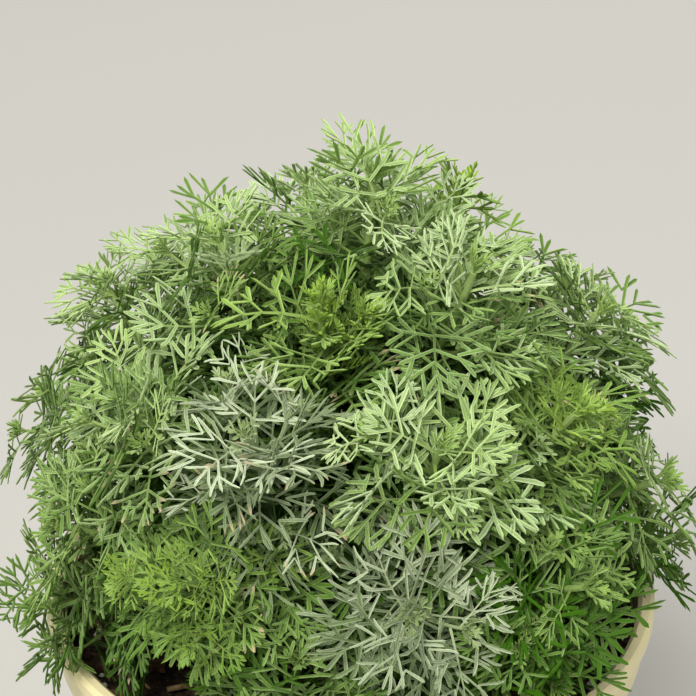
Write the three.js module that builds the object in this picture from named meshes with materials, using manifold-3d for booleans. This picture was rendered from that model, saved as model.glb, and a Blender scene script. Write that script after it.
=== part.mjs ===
// Potted southernwood: a dense herb bush with finely cut leaves, in a round plastic nursery pot.
// Lengths are in millimetres and angles in degrees. +Z is up, and the origin is the centre of the pot's
// underside.

import * as THREE from "three";
import { mergeVertices } from "three/addons/utils/BufferGeometryUtils.js";
import Module from "manifold-3d";

const wasm = await Module();
wasm.setup();

// The pot, measured over its rolled lip.
const POT = {
  height: 135,
  rimRadius: 85,
  lipWidth: 4.6,
  lipHeight: 4,
  bandHeight: 17,
  wall: 2,
  floor: 3,
  footRadius: 60,
  shoulder: 3.5,
  softening: 1.2,
  sides: 32,
  drainHoles: 6,
  drainRadius: 5,
  drainCircle: 38,
  drainSides: 6,
};

// The compost lies this far under the rim, clear of the pot. Its top is mounded, with rings of corners at
// these shares of its radius, and rippled.
const COMPOST = {
  belowRim: 14.5,
  mound: 3.5,
  gap: 0.4,
  rings: [0.8, 0.52, 0.25],
  ripple: 0.8,
  rippleLength: 34,
};

// The woody rootstock: a short stem in the compost, its limbs, and the branches that carry the shoots.
// The branches leave their limb within branchRange, and take branchShare of the way to a shoot's tip.
const WOOD = {
  buried: 34,
  standing: 10,
  forkHeight: 5,
  stemRadius: 5.5,
  stemEndRadius: 3.8,
  stemSides: 8,
  holeGap: 0.5,
  limbRadii: [3.8, 3.2, 2.4],
  limbSides: 5,
  branchRange: [0.45, 0.97],
  branchShare: 0.42,
  branchRadii: [1.9, 1.45],
  branchSides: 3,
};

// Where the limbs end: one upright in the middle, and a ring of leaning ones, which bow outwards.
const LIMBS = [
  { count: 1, radius: 3, height: 42, turn: 0 },
  { count: 5, radius: 30, height: 26, turn: 20 },
];
const BOW = { radius: 0.4, height: 0.55 };

// Tips of the leafy shoots, in rings over the dome. Height is above the compost, droop is how far the
// last stretch of the stem leans out from upright, and limbs is the set of limbs that carries the ring.
const RINGS = [
  { count: 1, radius: 4, height: 134, droop: 6, turn: 0, limbs: 0 },
  { count: 5, radius: 36, height: 118, droop: 18, turn: 40, limbs: 0 },
  { count: 9, radius: 65, height: 90, droop: 36, turn: 8, limbs: 1 },
  { count: 10, radius: 83, height: 55, droop: 58, turn: 25, limbs: 1 },
  { count: 7, radius: 86, height: 23, droop: 88, turn: 0, limbs: 1 },
];
const RING_SCATTER = 4;

// How straight a shoot's course leaves its limb and reaches its tip, as shares of the way.
const COURSE = { leaving: 0.3, arriving: 0.35 };

// The green stem of a shoot, and the joint between it and its branch.
const STEM = { radii: [1.4, 1.3, 1.1], sides: 4, jointGap: 0.4 };

// Leaves stand in a spiral round each shoot. The first values are those of the lowest leaf and the second
// ones those of the leaf at the tip: the share of the stem, the share of the full size, the angle from the
// stem at the leaf's root, and how much further the leaf turns by its end.
const LEAVES = { count: 7, along: [0.28, 0.98], size: [1, 0.6], lean: [66, 14], arch: [34, 20] };
const CROWDING = 0.8;
const SPIRAL = 137.5;
const SHOOT_TURN = 75;

// One leaf: a stalk to its heart, and pointed lobes that fan out from there. Turn is a lobe's angle from
// the leaf's line. Reach and the notch behind it are shares of the distance from heart to end.
const LEAF = {
  length: 31,
  heart: 0.5,
  stalkWidth: 1,
  stalkThickness: 1,
  heartThickness: 1.8,
  fold: 0.25,
  lobes: [
    { turn: 106, reach: 0.78, notch: 0.34 },
    { turn: 80, reach: 0.72, notch: 0.22 },
    { turn: 52, reach: 0.92, notch: 0.36 },
    { turn: 26, reach: 0.82, notch: 0.24 },
  ],
};

// A leaf that would touch another shoot is turned round its stem, or lifted, until it is this far clear.
const CLEARANCE = 0.3;
const TURNS = [0, 14, -14, 28, -28, 42, -42, 56, -56];
const LIFTS = [0, 12, -12, 24];

// The shoots, numbered from the leader down, that are bright with young leaves or silver with down.
const KINDS = { young: [2, 5, 15, 18, 22, 27], silver: [13, 23] };

const COLOURS = {
  plastic: 0xcfc391,
  compost: 0x3a2c22,
  bark: 0x8a7a5c,
  leafy: 0x8fa878,
  young: 0x93b64a,
  silver: 0xa7ad98,
};

const UP = new THREE.Vector3(0, 0, 1);
const SOIL_LEVEL = POT.height - COMPOST.belowRim + COMPOST.mound;
const radians = THREE.MathUtils.degToRad;

// An even spread from -amount to amount, by the steps of an irrational number.
const STEPS = [0.618034, 0.754878, 0.56984];
const scatter = (index, channel, amount) => (((index + 1) * STEPS[channel]) % 1) * 2 * amount - amount;

// A closed geometry as a solid. Only its position counts, so that shared corners merge.
function solidOf(geometry) {
  const bare = new THREE.BufferGeometry();
  bare.setAttribute("position", geometry.getAttribute("position"));
  if (geometry.index) bare.setIndex(geometry.index);
  const merged = mergeVertices(bare, 1e-4);
  const mesh = new wasm.Mesh({
    numProp: 3,
    vertProperties: merged.attributes.position.array,
    triVerts: new Uint32Array(merged.index.array),
  });
  return new wasm.Manifold(mesh);
}

function geometryOf(solid) {
  const { vertProperties, triVerts } = solid.getMesh();
  const geometry = new THREE.BufferGeometry();
  geometry.setAttribute("position", new THREE.BufferAttribute(vertProperties, 3));
  geometry.setIndex(new THREE.BufferAttribute(triVerts, 1));
  geometry.computeVertexNormals();
  return geometry;
}

// Moves every corner of a geometry to where place(corner) says.
function reshape(geometry, place) {
  const position = geometry.getAttribute("position");
  const corner = new THREE.Vector3();
  for (let i = 0; i < position.count; i++) {
    const moved = place(corner.fromBufferAttribute(position, i));
    position.setXYZ(i, moved.x, moved.y, moved.z);
  }
  return geometry;
}

// A body turned about Z from a profile of [radius, height] points.
function turned(profile, sides) {
  const points = profile.map(([radius, height]) => new THREE.Vector2(radius, height));
  return new THREE.LatheGeometry(points, sides).rotateX(Math.PI / 2);
}

// The place on a curve at t, with the curve's direction and two directions square to it.
function frameAt(curve, t) {
  const chord = curve.getPoint(1).sub(curve.getPoint(0));
  const along = curve.getTangent(t);
  const across = UP.clone().cross(chord);
  const normal = across.cross(along).normalize();
  return { point: curve.getPoint(t), along, normal, side: along.clone().cross(normal) };
}

// A rod along a curve, with its radius at each of a few even steps.
function rod(curve, radii, sides) {
  const turn = (2 * Math.PI) / sides;
  const section = new THREE.Shape(
    Array.from({ length: sides }, (_, i) => new THREE.Vector2(Math.cos(i * turn), Math.sin(i * turn))),
  );
  const steps = radii.length - 1;
  const straight = new THREE.ExtrudeGeometry(section, { depth: 1, steps, bevelEnabled: false });
  return reshape(straight, ({ x, y, z }) => {
    const radius = radii[Math.round(z * steps)];
    const { point, normal, side } = frameAt(curve, z);
    return point.addScaledVector(normal, x * radius).addScaledVector(side, y * radius);
  });
}

function polar(radius, heading, height) {
  const angle = radians(heading);
  return new THREE.Vector3(radius * Math.cos(angle), radius * Math.sin(angle), height);
}

// Pot: a tapered wall with a stepped band, a rolled lip and drain holes in its floor.
function potSolid() {
  const { height, rimRadius, lipWidth, lipHeight, bandHeight, wall, floor, footRadius, shoulder } = POT;
  const soft = POT.softening;
  const bandBase = height - bandHeight;
  const innerLip = rimRadius - lipWidth;
  const bandRadius = innerLip + wall;
  const neckRadius = bandRadius - shoulder;
  const profile = [
    [0, 0],
    [footRadius - soft, 0],
    [footRadius, soft],
    [neckRadius, bandBase],
    [bandRadius, bandBase + wall],
    [bandRadius, height - lipHeight - soft],
    [rimRadius, height - lipHeight],
    [rimRadius, height - soft],
    [rimRadius - soft, height],
    [innerLip + soft, height],
    [innerLip, height - soft],
    [innerLip, bandBase + shoulder],
    [neckRadius - wall, bandBase],
    [footRadius - wall, floor],
    [0, floor],
  ];
  const body = solidOf(turned(profile, POT.sides));
  const holes = Array.from({ length: POT.drainHoles }, (_, i) => {
    const centre = polar(POT.drainCircle, (360 * i) / POT.drainHoles, floor / 2);
    const drill = new THREE.CylinderGeometry(POT.drainRadius, POT.drainRadius, 3 * floor, POT.drainSides);
    return solidOf(drill.rotateX(Math.PI / 2).translate(centre.x, centre.y, centre.z));
  });
  return body.subtract(wasm.Manifold.union(holes));
}

// Compost: fills the pot up to a rippled top, with a plain hole for the stem.
function compostSolid() {
  const { gap, mound, rings, ripple, rippleLength } = COMPOST;
  const bandBase = POT.height - POT.bandHeight;
  const innerLip = POT.rimRadius - POT.lipWidth;
  const neckRadius = innerLip - POT.shoulder;
  const edgeHeight = SOIL_LEVEL - mound;
  const edgeRadius = innerLip - gap;
  const profile = [
    [0, POT.floor + gap],
    [POT.footRadius - POT.wall - gap, POT.floor + gap],
    [neckRadius - gap, bandBase],
    [edgeRadius, bandBase + POT.shoulder + gap],
    ...rings.map((share) => [edgeRadius * share, edgeHeight + mound * (1 - share ** 2)]),
    [0, SOIL_LEVEL],
  ];
  const filled = reshape(turned(profile, POT.sides), (p) => {
    const [east, north] = [p.x, p.y].map((distance) => (2 * Math.PI * distance) / rippleLength);
    if (p.z > edgeHeight) p.z += ripple * Math.sin(east) * Math.cos(north);
    return p;
  });
  const radius = WOOD.stemRadius + WOOD.holeGap;
  const depth = WOOD.buried + WOOD.holeGap;
  const hole = new THREE.CylinderGeometry(radius, radius, 2 * depth, WOOD.stemSides)
    .rotateX(Math.PI / 2)
    .translate(0, 0, SOIL_LEVEL);
  return solidOf(filled).subtract(solidOf(hole));
}

// The limbs as curves, in the sets that LIMBS gives.
function limbSets() {
  return LIMBS.map(({ count, radius, height, turn }) =>
    Array.from({ length: count }, (_, i) => {
      const heading = turn + (360 * i) / count;
      return new THREE.QuadraticBezierCurve3(
        new THREE.Vector3(0, 0, SOIL_LEVEL + WOOD.forkHeight),
        polar(radius * BOW.radius, heading, SOIL_LEVEL + height * BOW.height),
        polar(radius, heading, SOIL_LEVEL + height),
      );
    }),
  );
}

// The tips of all the shoots, each with the direction in which its shoot arrives and the limb that is
// nearest to it in its ring's set.
function shootTips(sets) {
  return RINGS.flatMap(({ count, radius, height, droop, turn, limbs }) =>
    Array.from({ length: count }, (_, i) => {
      const [shift, push, rise] = STEPS.map((_step, channel) => scatter(i, channel, RING_SCATTER));
      const heading = turn + (360 * i) / count + shift;
      const point = polar(radius + push, heading, SOIL_LEVEL + height + rise);
      const direction = polar(Math.sin(radians(droop)), heading, Math.cos(radians(droop)));
      const away = (limb) => limb.getPoint(1).distanceTo(point);
      const limb = sets[limbs].reduce((best, other) => (away(other) < away(best) ? other : best));
      return { point, direction, limb };
    }),
  );
}

// The course of every shoot, from its limb to its tip. The lowest tips leave a limb first.
function shootCourses(tips) {
  return tips.map(({ point, direction, limb }) => {
    const mates = tips.filter((other) => other.limb === limb).sort((a, b) => a.point.z - b.point.z);
    const rank = mates.findIndex((other) => other.point === point) / (mates.length - 1);
    const leaving = THREE.MathUtils.lerp(...WOOD.branchRange, rank);
    const start = limb.getPoint(leaving);
    const span = start.distanceTo(point);
    const straight = point.clone().sub(start).normalize();
    const first = limb.getTangent(leaving).add(straight).normalize();
    return new THREE.CubicBezierCurve3(
      start,
      start.clone().addScaledVector(first, span * COURSE.leaving),
      point.clone().addScaledVector(direction, -span * COURSE.arriving),
      point,
    );
  });
}

// A stretch of a curve, from one share of it to another.
class Stretch extends THREE.Curve {
  constructor(whole, from, to) {
    super();
    this.whole = whole;
    this.from = from;
    this.to = to;
  }
  getPoint(t) {
    return this.whole.getPoint(THREE.MathUtils.lerp(this.from, this.to, t));
  }
}

// Rootstock: the buried stem, its limbs, and a branch under each shoot, grown together.
function rootstockSolid(limbs, courses) {
  const length = WOOD.buried + WOOD.standing;
  const stem = new THREE.CylinderGeometry(WOOD.stemRadius, WOOD.stemEndRadius, length, WOOD.stemSides)
    .rotateX(Math.PI / 2)
    .translate(0, 0, SOIL_LEVEL + WOOD.standing - length / 2);
  const limbSolids = limbs.map((limb) => solidOf(rod(limb, WOOD.limbRadii, WOOD.limbSides)));
  const branchSolids = courses.map((course) =>
    solidOf(rod(new Stretch(course, 0, WOOD.branchShare), WOOD.branchRadii, WOOD.branchSides)),
  );
  return wasm.Manifold.union([solidOf(stem), ...limbSolids, ...branchSolids]);
}

// The outline of one leaf seen from above, from its root at x = 0 to its end at x = length. Every point
// past the stalk can be seen from the heart.
function leafOutline(length) {
  const heart = length * LEAF.heart;
  const span = length - heart;
  const half = LEAF.stalkWidth / 2;
  const around = (turn, reach) => {
    const distance = reach * span;
    return new THREE.Vector2(heart + distance * Math.cos(radians(turn)), distance * Math.sin(radians(turn)));
  };
  const side = [new THREE.Vector2(0, half), new THREE.Vector2(heart - LEAF.stalkWidth, half)];
  LEAF.lobes.forEach(({ turn, reach, notch }, i) => {
    const next = i + 1 < LEAF.lobes.length ? LEAF.lobes[i + 1].turn : 0;
    side.push(around(turn, reach), around((turn + next) / 2, notch));
  });
  const mirrored = side.map(({ x, y }) => new THREE.Vector2(x, -y));
  return new THREE.Shape([...mirrored, new THREE.Vector2(length, 0), ...side.reverse()]);
}

// A leaf that grows out of a stem at a point, along an arc that turns from the stem towards radial. Both
// its faces rise from the outline to a ridge that runs from the root to the heart.
function leafSolid({ point, along, radial }, length, lean, arch) {
  const outline = leafOutline(length);
  const layers = new THREE.ExtrudeGeometry(outline, { depth: 2, steps: 2, bevelEnabled: false });
  const across = along.clone().cross(radial);
  const [start, bend] = [radians(lean), radians(arch) / length];
  const shaped = reshape(layers, ({ x, y, z }) => {
    const layer = Math.round(z) - 1;
    const isRoot = x < LEAF.stalkWidth;
    const thickness = isRoot ? LEAF.stalkThickness : LEAF.heartThickness;
    const [run, aside] = layer ? [isRoot ? 0 : length * LEAF.heart, 0] : [x, y];
    const lift = (layer * thickness) / 2 + LEAF.fold * Math.abs(aside);
    const angle = start + bend * run;
    const rise = (Math.sin(angle) - Math.sin(start)) / bend;
    const out = (Math.cos(start) - Math.cos(angle)) / bend;
    return point
      .clone()
      .addScaledVector(along, rise + lift * Math.sin(angle))
      .addScaledVector(radial, out - lift * Math.cos(angle))
      .addScaledVector(across, aside);
  });
  return solidOf(shaped);
}

function boxesMeet(a, b) {
  return [0, 1, 2].every((i) => a.min[i] - CLEARANCE < b.max[i] && b.min[i] - CLEARANCE < a.max[i]);
}

// Everything that has been placed so far, so that a new piece can be kept clear of it.
const placed = [];

function place(solid) {
  placed.push({ solid, box: solid.boundingBox() });
  return solid;
}

// Whether a piece is clear of all that is placed, apart from the stem that it grows on.
function isClear(piece, stem) {
  const box = piece.boundingBox();
  return placed
    .filter((other) => other.solid !== stem && boxesMeet(box, other.box))
    .every((other) => piece.minGap(other.solid, 2 * CLEARANCE) >= CLEARANCE);
}

// The values of the leaf in one row, from 0 at the foot of a shoot to 1 at its tip.
function leafRow(row) {
  const mix = ([low, high], share) => THREE.MathUtils.lerp(low, high, share);
  const { along, size, lean, arch } = LEAVES;
  return {
    along: mix(along, row ** CROWDING),
    length: LEAF.length * mix(size, row ** 3),
    lean: mix(lean, row ** 2),
    arch: mix(arch, row),
  };
}

// The leaf at one place of a stem, at the first turn and lift at which it is clear, or null.
function clearLeaf(curve, stem, leaf, heading) {
  const { point, along, normal } = frameAt(curve, leaf.along);
  for (const lift of LIFTS)
    for (const turn of TURNS) {
      const radial = normal.clone().applyAxisAngle(along, radians(heading + turn));
      const solid = leafSolid({ point, along, radial }, leaf.length, leaf.lean + lift, leaf.arch);
      if (isClear(solid, stem)) return solid;
    }
  return null;
}

// Shoots: all the stems first, and then the leaves row by row from the tips down, all round the bush.
function shootSolids(courses) {
  const curves = courses.map((course) => {
    const whole = new Stretch(course, WOOD.branchShare, 1);
    return new Stretch(whole, STEM.jointGap / whole.getLength(), 1);
  });
  const stems = curves.map((curve) => place(solidOf(rod(curve, STEM.radii, STEM.sides))));
  const shoots = stems.map((stem) => [stem]);
  for (let row = LEAVES.count - 1; row >= 0; row--)
    curves.forEach((curve, i) => {
      const leaf = leafRow(row / (LEAVES.count - 1));
      const solid = clearLeaf(curve, stems[i], leaf, SPIRAL * row + SHOOT_TURN * i);
      if (solid) shoots[i].push(place(solid));
    });
  return shoots.map((pieces) => wasm.Manifold.union(pieces));
}

const group = new THREE.Group();

function addNode(name, solid, colour, roughness) {
  const material = new THREE.MeshStandardMaterial({ color: colour, roughness, metalness: 0 });
  const mesh = new THREE.Mesh(geometryOf(solid), material);
  mesh.name = name;
  group.add(mesh);
}

const limbs = limbSets();
const courses = shootCourses(shootTips(limbs));
const pot = place(potSolid());
const compost = place(compostSolid());
const rootstock = place(rootstockSolid(limbs.flat(), courses));
const shoots = shootSolids(courses);

addNode("pot", pot, COLOURS.plastic, 0.5);
addNode("compost", compost, COLOURS.compost, 0.95);
addNode("woody_rootstock", rootstock, COLOURS.bark, 0.9);
shoots.forEach((solid, i) => {
  const number = i + 1;
  const kind = Object.keys(KINDS).find((name) => KINDS[name].includes(number)) ?? "leafy";
  addNode(`${kind}_shoot_${String(number).padStart(2, "0")}`, solid, COLOURS[kind], 0.8);
});

export default group;
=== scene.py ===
"""Potted southernwood: a dense herb bush with finely cut, downy leaves, in a round plastic nursery pot.

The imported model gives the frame. Each of its nodes is replaced here by a finer piece of the same form:
the pot, its compost, the woody rootstock, and every leafy shoot with its leaves, side shoots and buds.
Lengths are in metres and angles in degrees, unless a name says otherwise. +Z is up, and the origin is
the centre of the pot's underside.
"""

import logging
import random
from dataclasses import dataclass, field, replace
from enum import Enum
from math import atan2, cos, hypot, pi, radians, sin, sqrt, tan
from typing import Callable, Iterator, Sequence

import bpy
import numpy as np
from mathutils import Matrix, Vector, noise


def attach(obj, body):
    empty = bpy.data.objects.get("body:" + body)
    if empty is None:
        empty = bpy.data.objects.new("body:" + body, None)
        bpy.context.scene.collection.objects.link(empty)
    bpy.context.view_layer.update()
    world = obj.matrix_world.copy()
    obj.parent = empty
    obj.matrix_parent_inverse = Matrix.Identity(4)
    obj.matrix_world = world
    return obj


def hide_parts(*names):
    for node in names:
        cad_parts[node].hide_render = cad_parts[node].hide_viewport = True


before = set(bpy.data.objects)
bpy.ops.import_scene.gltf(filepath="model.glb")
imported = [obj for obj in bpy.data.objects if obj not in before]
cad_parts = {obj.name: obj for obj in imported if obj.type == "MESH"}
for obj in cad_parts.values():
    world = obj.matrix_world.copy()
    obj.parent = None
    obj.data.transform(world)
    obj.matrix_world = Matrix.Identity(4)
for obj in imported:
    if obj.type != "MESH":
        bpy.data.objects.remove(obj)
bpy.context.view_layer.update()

Piece = bpy.types.Object
Mesh = bpy.types.Mesh
Material = bpy.types.Material
Socket = bpy.types.NodeSocket
Profile = list[tuple[float, float]]

log = logging.getLogger("southernwood")

MM = 0.001
UP = Vector((0, 0, 1))

# The turn from one leaf of a spiral to the next.
GOLDEN_TURN = 137.5

# Steps of irrational numbers: shares of them spread evenly and never repeat.
SPREAD_STEPS = (0.618034, 0.754878, 0.56984)

# The map that runs across and along each lobe, and the one spot of it that all of a stalk takes.
LOBE_MAP = "lobe"
STALK_SPOT = (0.25, 0.2)


def mix(low: float, high: float, share: float) -> float:
    """The value at a share of the way from low to high."""
    return low + (high - low) * share


def smooth_step(low: float, high: float, value: float) -> float:
    """0 up to low and 1 from high on, with a soft rise between them, for a number or an array."""
    share = np.clip((value - low) / (high - low), 0, 1)
    return share * share * (3 - 2 * share)


def polar(radius: float, heading: float, height: float) -> Vector:
    """The point at a radius and heading round the pot's axis, at a height."""
    angle = radians(heading)
    return Vector((radius * cos(angle), radius * sin(angle), height))


def scatter(index: int, channel: int, amount: float) -> float:
    """An even spread from -amount to amount, in one of three channels."""
    return ((index + 1) * SPREAD_STEPS[channel] % 1) * 2 * amount - amount


# Courses


@dataclass(frozen=True)
class Course:
    """A Bezier curve that a limb, branch or stem follows, or a stretch of one."""

    points: tuple[Vector, ...]
    start: float = 0.0
    end: float = 1.0

    def at(self, share: float) -> Vector:
        """Finds a point of the course.

        Args:
            share: how far along the course, from 0 to 1.

        Returns:
            The point.
        """
        t = mix(self.start, self.end, share)
        line = list(self.points)
        while len(line) > 1:
            line = [a.lerp(b, t) for a, b in zip(line, line[1:])]
        return line[0]

    def heading(self, share: float, nudge: float = 1e-3) -> Vector:
        """The unit direction of the course at a share of it."""
        return (self.at(min(share + nudge, 1)) - self.at(max(share - nudge, 0))).normalized()

    def stretch(self, start: float, end: float) -> "Course":
        """The part of this course between two shares of it."""
        return Course(self.points, mix(self.start, self.end, start), mix(self.start, self.end, end))

    def length(self, steps: int = 24) -> float:
        """The length of the course."""
        knots = [self.at(i / steps) for i in range(steps + 1)]
        return sum((b - a).length for a, b in zip(knots, knots[1:]))

    def frame(self, share: float) -> tuple[Vector, Vector, Vector, Vector]:
        """Finds the place and directions at a share of the course.

        Args:
            share: how far along the course, from 0 to 1.

        Returns:
            The point, the direction along, and two directions square to it: normal and side.
        """
        chord = self.at(1) - self.at(0)
        along = self.heading(share)
        across = UP.cross(chord)
        is_upright = across.length < 1e-9
        normal = (Vector((1, 0, 0)) if is_upright else across).cross(along).normalized()
        return self.at(share), along, normal, along.cross(normal)


# Mesh helpers


def deselect_all() -> None:
    """Leaves no object selected and no object in edit mode."""
    if bpy.context.object and bpy.context.object.mode != "OBJECT":
        bpy.ops.object.mode_set(mode="OBJECT")
    bpy.ops.object.select_all(action="DESELECT")


def take(piece: Piece) -> None:
    """Makes an object the only selected one, and the active one.

    Args:
        piece: the object.
    """
    deselect_all()
    piece.select_set(True)
    bpy.context.view_layer.objects.active = piece


def primitive(kind: str, **settings: object) -> Piece:
    """Adds a primitive, with nothing else selected.

    Args:
        kind: which one, as its operator's name says it.
        settings: the operator's settings.

    Returns:
        The new object.
    """
    deselect_all()
    getattr(bpy.ops.mesh, f"primitive_{kind}_add")(calc_uvs=False, **settings)
    return bpy.context.object


def name_it(piece: Piece, name: str) -> Piece:
    """Names an object and its mesh alike, and gives it back."""
    piece.name = piece.data.name = name
    return piece


def settle(piece: Piece) -> Piece:
    """Applies an object's place, turn and scale to its mesh.

    Args:
        piece: the object.

    Returns:
        The same object.
    """
    take(piece)
    bpy.ops.object.transform_apply(location=True, rotation=True, scale=True)
    return piece


def edit_all(piece: Piece) -> None:
    """Opens a piece in edit mode with all of it selected.

    Args:
        piece: the object.
    """
    take(piece)
    bpy.ops.object.mode_set(mode="EDIT")
    bpy.ops.mesh.select_mode(type="VERT")
    bpy.ops.mesh.select_all(action="SELECT")


def leave_edit() -> None:
    """Goes back to object mode."""
    bpy.ops.object.mode_set(mode="OBJECT")


def face_outwards(piece: Piece, merge: bool) -> None:
    """Turns a piece's faces outwards.

    Args:
        piece: the object.
        merge: whether its doubled corners are merged first.
    """
    edit_all(piece)
    if merge:
        bpy.ops.mesh.remove_doubles(threshold=MM / 1000)
    bpy.ops.mesh.normals_make_consistent(inside=False)
    leave_edit()


def apply_modifier(piece: Piece, kind: str, **settings: object) -> None:
    """Adds a modifier to a piece and applies it.

    Args:
        piece: the object.
        kind: the modifier's type.
        settings: its properties.
    """
    take(piece)
    modifier = piece.modifiers.new(kind.lower(), kind)
    for name, value in settings.items():
        setattr(modifier, name, value)
    bpy.ops.object.modifier_apply(modifier=modifier.name)


def smooth_by_angle(piece: Piece, angle: float) -> None:
    """Shades a piece smooth.

    Args:
        piece: the object.
        angle: the angle between two faces from which their edge stays sharp.
    """
    take(piece)
    bpy.ops.object.shade_smooth_by_angle(angle=radians(angle))


def copy_of(piece: Piece) -> Piece:
    """Copies an object with its mesh.

    Args:
        piece: the object to copy.

    Returns:
        The copy, in the scene.
    """
    twin = piece.copy()
    twin.data = piece.data.copy()
    bpy.context.scene.collection.objects.link(twin)
    return twin


def joined(pieces: Sequence[Piece], name: str) -> Piece:
    """Joins objects into the first of them.

    Args:
        pieces: two or more objects.
        name: the name of the result.

    Returns:
        The joined object.
    """
    take(pieces[0])
    for piece in pieces:
        piece.select_set(True)
    bpy.ops.object.join()
    return name_it(bpy.context.object, name)


def discard(pieces: Sequence[Piece]) -> None:
    """Removes patterns that have served for their copies.

    Args:
        pieces: the patterns.
    """
    for piece in pieces:
        mesh = piece.data
        bpy.data.objects.remove(piece)
        bpy.data.meshes.remove(mesh)


def corners_of(mesh: Mesh) -> np.ndarray:
    """Reads a mesh's corners.

    Args:
        mesh: the mesh.

    Returns:
        A row of three for each corner.
    """
    flat = np.empty(len(mesh.vertices) * 3)
    mesh.vertices.foreach_get("co", flat)
    return flat.reshape(-1, 3)


def move_corners(mesh: Mesh, corners: np.ndarray) -> None:
    """Moves a mesh's corners.

    Args:
        mesh: the mesh.
        corners: a row of three for each corner.
    """
    mesh.vertices.foreach_set("co", corners.ravel())
    mesh.update()


def roughen(mesh: Mesh, depth: float, pace: float, start: Vector) -> None:
    """Pushes a mesh's corners in and out from its middle, by a noise.

    Args:
        mesh: the mesh, about one unit in size.
        depth: how far they move, as a share of their distance from the middle.
        pace: how fast the noise changes.
        start: the place in the noise that the middle takes.
    """
    corners = corners_of(mesh)
    for corner in corners:
        corner *= 1 + depth * noise.noise(Vector(corner) * pace + start)
    move_corners(mesh, corners)


def map_stalk(mesh: Mesh) -> None:
    """Gives all of a stalk the same spot of the lobe map."""
    for corner in mesh.uv_layers.new(name=LOBE_MAP).data:
        corner.uv = STALK_SPOT


def hand_over(piece: Piece, material: Material, slot: str, *nodes: str) -> Piece:
    """Dresses a finished piece, and lets it ride with the body and stand for its nodes.

    Args:
        piece: the finished object.
        material: its one material.
        slot: the name of the material slot for its finish. It is not used.
        nodes: the names of the nodes that it stands for.

    Returns:
        The same object.
    """
    piece.data.materials.append(material)
    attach(piece, "root")
    if nodes:
        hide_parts(*nodes)
    return piece


class Tone:
    """The attribute in which a leaf keeps its own colour changes, corner by corner.

    Its four values are the lightness, which is painted light and shade, the youth, the dryness and
    whether the corner is on a stalk.
    """

    NAME = "tone"

    @classmethod
    def write(cls, mesh: Mesh, values: np.ndarray) -> None:
        """Writes the attribute.

        Args:
            mesh: the mesh.
            values: a row of four for each corner, or one row for all of them.
        """
        layer = mesh.attributes.get(cls.NAME)
        if layer is None:
            layer = mesh.attributes.new(cls.NAME, "FLOAT_COLOR", "POINT")
        rows = np.broadcast_to(np.asarray(values, dtype=np.float32), (len(mesh.vertices), 4))
        layer.data.foreach_set("color", rows.ravel())

    @classmethod
    def read(cls, mesh: Mesh) -> np.ndarray:
        """Reads the attribute.

        Args:
            mesh: the mesh.

        Returns:
            A row of four for each corner.
        """
        flat = np.empty(len(mesh.vertices) * 4, dtype=np.float32)
        mesh.attributes[cls.NAME].data.foreach_get("color", flat)
        return flat.reshape(-1, 4)


# Finishes


Colour = int | Socket
Share = float | Socket | tuple


def linear(colour: int) -> tuple[float, float, float, float]:
    """Turns an sRGB hex colour linear.

    Args:
        colour: the hex number.

    Returns:
        Its red, green, blue and alpha.
    """
    channels = [(colour >> shift & 255) / 255 for shift in (16, 8, 0)]
    lit = [c / 12.92 if c <= 0.04045 else ((c + 0.055) / 1.055) ** 2.4 for c in channels]
    return (*lit, 1.0)


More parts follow.
